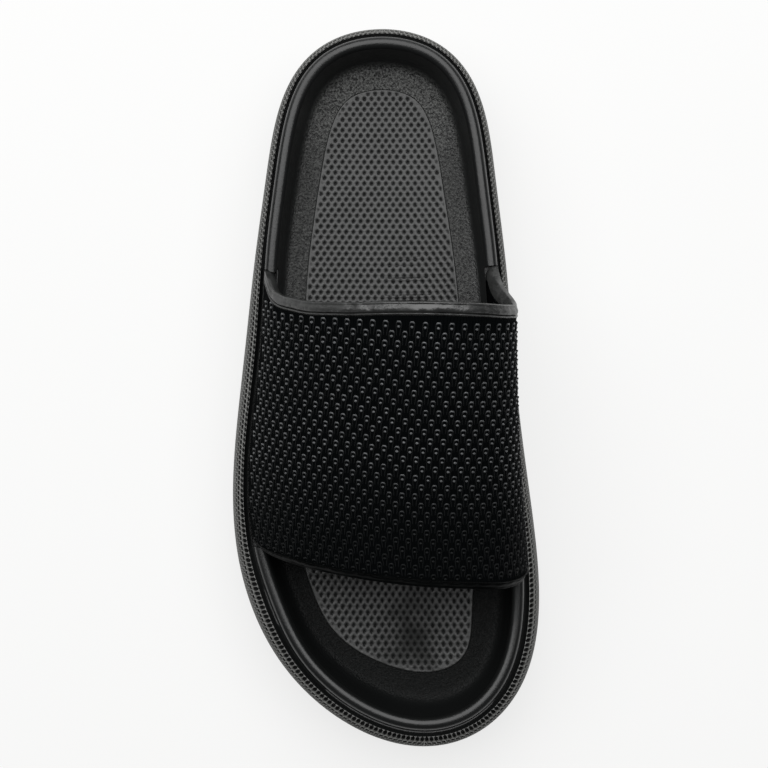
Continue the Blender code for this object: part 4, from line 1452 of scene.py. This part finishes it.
def trim(name, face, width, from_rear, material):
    """The smooth band along one edge of the strap: a band, a groove and a fine ridge, a little wavy."""
    u, drop = strap_columns(STRAP_STEPS * 2)
    shell = Shell()
    above = np.where(drop > 0, 0.0, np.clip(np.minimum(u, 1 - u) / TRIM_FADE, 0, 1))
    rows = []
    section = [(inward, rise, 0.0) for _, inward, rise in face]
    section += [(inward, 0.0, deep) for _, inward, deep in TRIM_EDGE]
    for inward, rise, deep in section:
        wave = np.sin(2 * math.pi * WAVES_OVER_ARCH * u + WAVE_LEAN * inward)
        fine = 2 * math.pi * WAVES_OVER_ARCH * FINE_WAVE_COUNT * u - FINE_WAVE_LEAN * inward
        wave += FINE_WAVE_SHARE * np.sin(fine)
        wavy = WAVE_HEIGHT * wave * above * math.sin(math.pi * min(inward, 1.0)) * (deep == 0)
        depth = deep * wall_at(u) - rise * np.where(rise > 0, above, 1.0) - wavy
        rows.append(shell.add(strap_point(u, drop, np.full(len(u), inward * width), depth, from_rear)))
    loops = [[row[k] for row in rows] for k in range(len(u))]
    shell.tube(loops)
    obj = new_object(name, shell.points, shell.faces, 60.0)
    obj.data.materials.append(material)
    return obj


def light(name, location, target, size, power):
    """A soft rectangular light that looks at a target."""
    lamp = bpy.data.lights.new(name, "AREA")
    lamp.shape = "RECTANGLE"
    lamp.size, lamp.size_y = size
    lamp.energy = power
    obj = put_in_scene(name, lamp)
    obj.location = location
    way = np.array(target) - np.array(location)
    obj.rotation_euler = Vector(way).to_track_quat("-Z", "Y").to_euler()


def studio():
    """Pale floor, one wide soft light over the heel's left side, and the camera straight above the shoe."""
    scene = bpy.context.scene
    scene.view_settings.view_transform = "Standard"
    mesh = bpy.data.meshes.new("floor")
    corners = [(-1, -1), (1, -1), (1, 1), (-1, 1)]
    mesh.from_pydata([(x * FLOOR_REACH, y * FLOOR_REACH, 0.0) for x, y in corners], [], [(0, 1, 2, 3)])
    floor = put_in_scene("floor", mesh)
    paper = Finish("floor_paper", PAPER, 0.9, 0.1)
    paper.put(Emission_Color=PAPER_GLOW, Emission_Strength=FLOOR_GLOW)
    mesh.materials.append(paper.material)
    world = bpy.data.worlds.new("surroundings")
    world.use_nodes = True
    tree = Tree(world.node_tree)
    back = world.node_tree.nodes["Background"]
    back.inputs["Color"].default_value = ROOM
    seen = tree.node("ShaderNodeLightPath").outputs["Is Camera Ray"]
    tree.link(tree.ramp(seen, 0.0, 1.0, ROOM_LIGHT, ROOM_SEEN, "LINEAR"), back.inputs["Strength"])
    scene.world = world
    light("overhead", LAMP_PLACE, LAMP_TARGET, LAMP_SIZE, LAMP_POWER)
    camera = bpy.data.cameras.new("camera")
    camera.sensor_width = SENSOR_WIDTH
    camera.lens = CAMERA_PIXELS / IMAGE_WIDTH * SENSOR_WIDTH
    camera.clip_start = 0.01
    scene.camera = put_in_scene("camera", camera)
    scene.camera.location = CAMERA_PLACE


def main():
    """Build every piece and the studio."""
    grain = fine_grain_group()
    pits = pressed_pits_tree()
    net = net_foam(grain)
    foam = rim_foam(grain, "rim_foam", 0.5, FOAM_CREST_HIGHLIGHT)
    # The toe bowl's copy of the foam, darker and duller: painted shade of the strap
    toe_shaded_foam = rim_foam(grain, "toe_bowl_foam", 0.17, TOE_SHADED_CRESTS)
    dress(sole_body(foam, toe_shaded_foam), "sole_foam", "sole")
    for side in ("lateral", "medial"):
        dress(side_net(side, pits, net), "sole_foam")
    dress(insole_panel(pits, panel_foam(grain)), "insole_foam", "insole")
    dress(strap_wall(strap_knit(grain)), "strap_knit", "strap")
    dress(strap_loops(set_loops_tree(), loop_rubber(grain)), "strap_knit")
    for piece, node, finish, face, width, from_rear, colour, gloss, waves in TRIMS:
        rubber = trim_rubber(grain, finish, colour, gloss, waves)
        dress(trim(piece, face, width, from_rear, rubber), "trim_smooth", node)
    studio()


main()
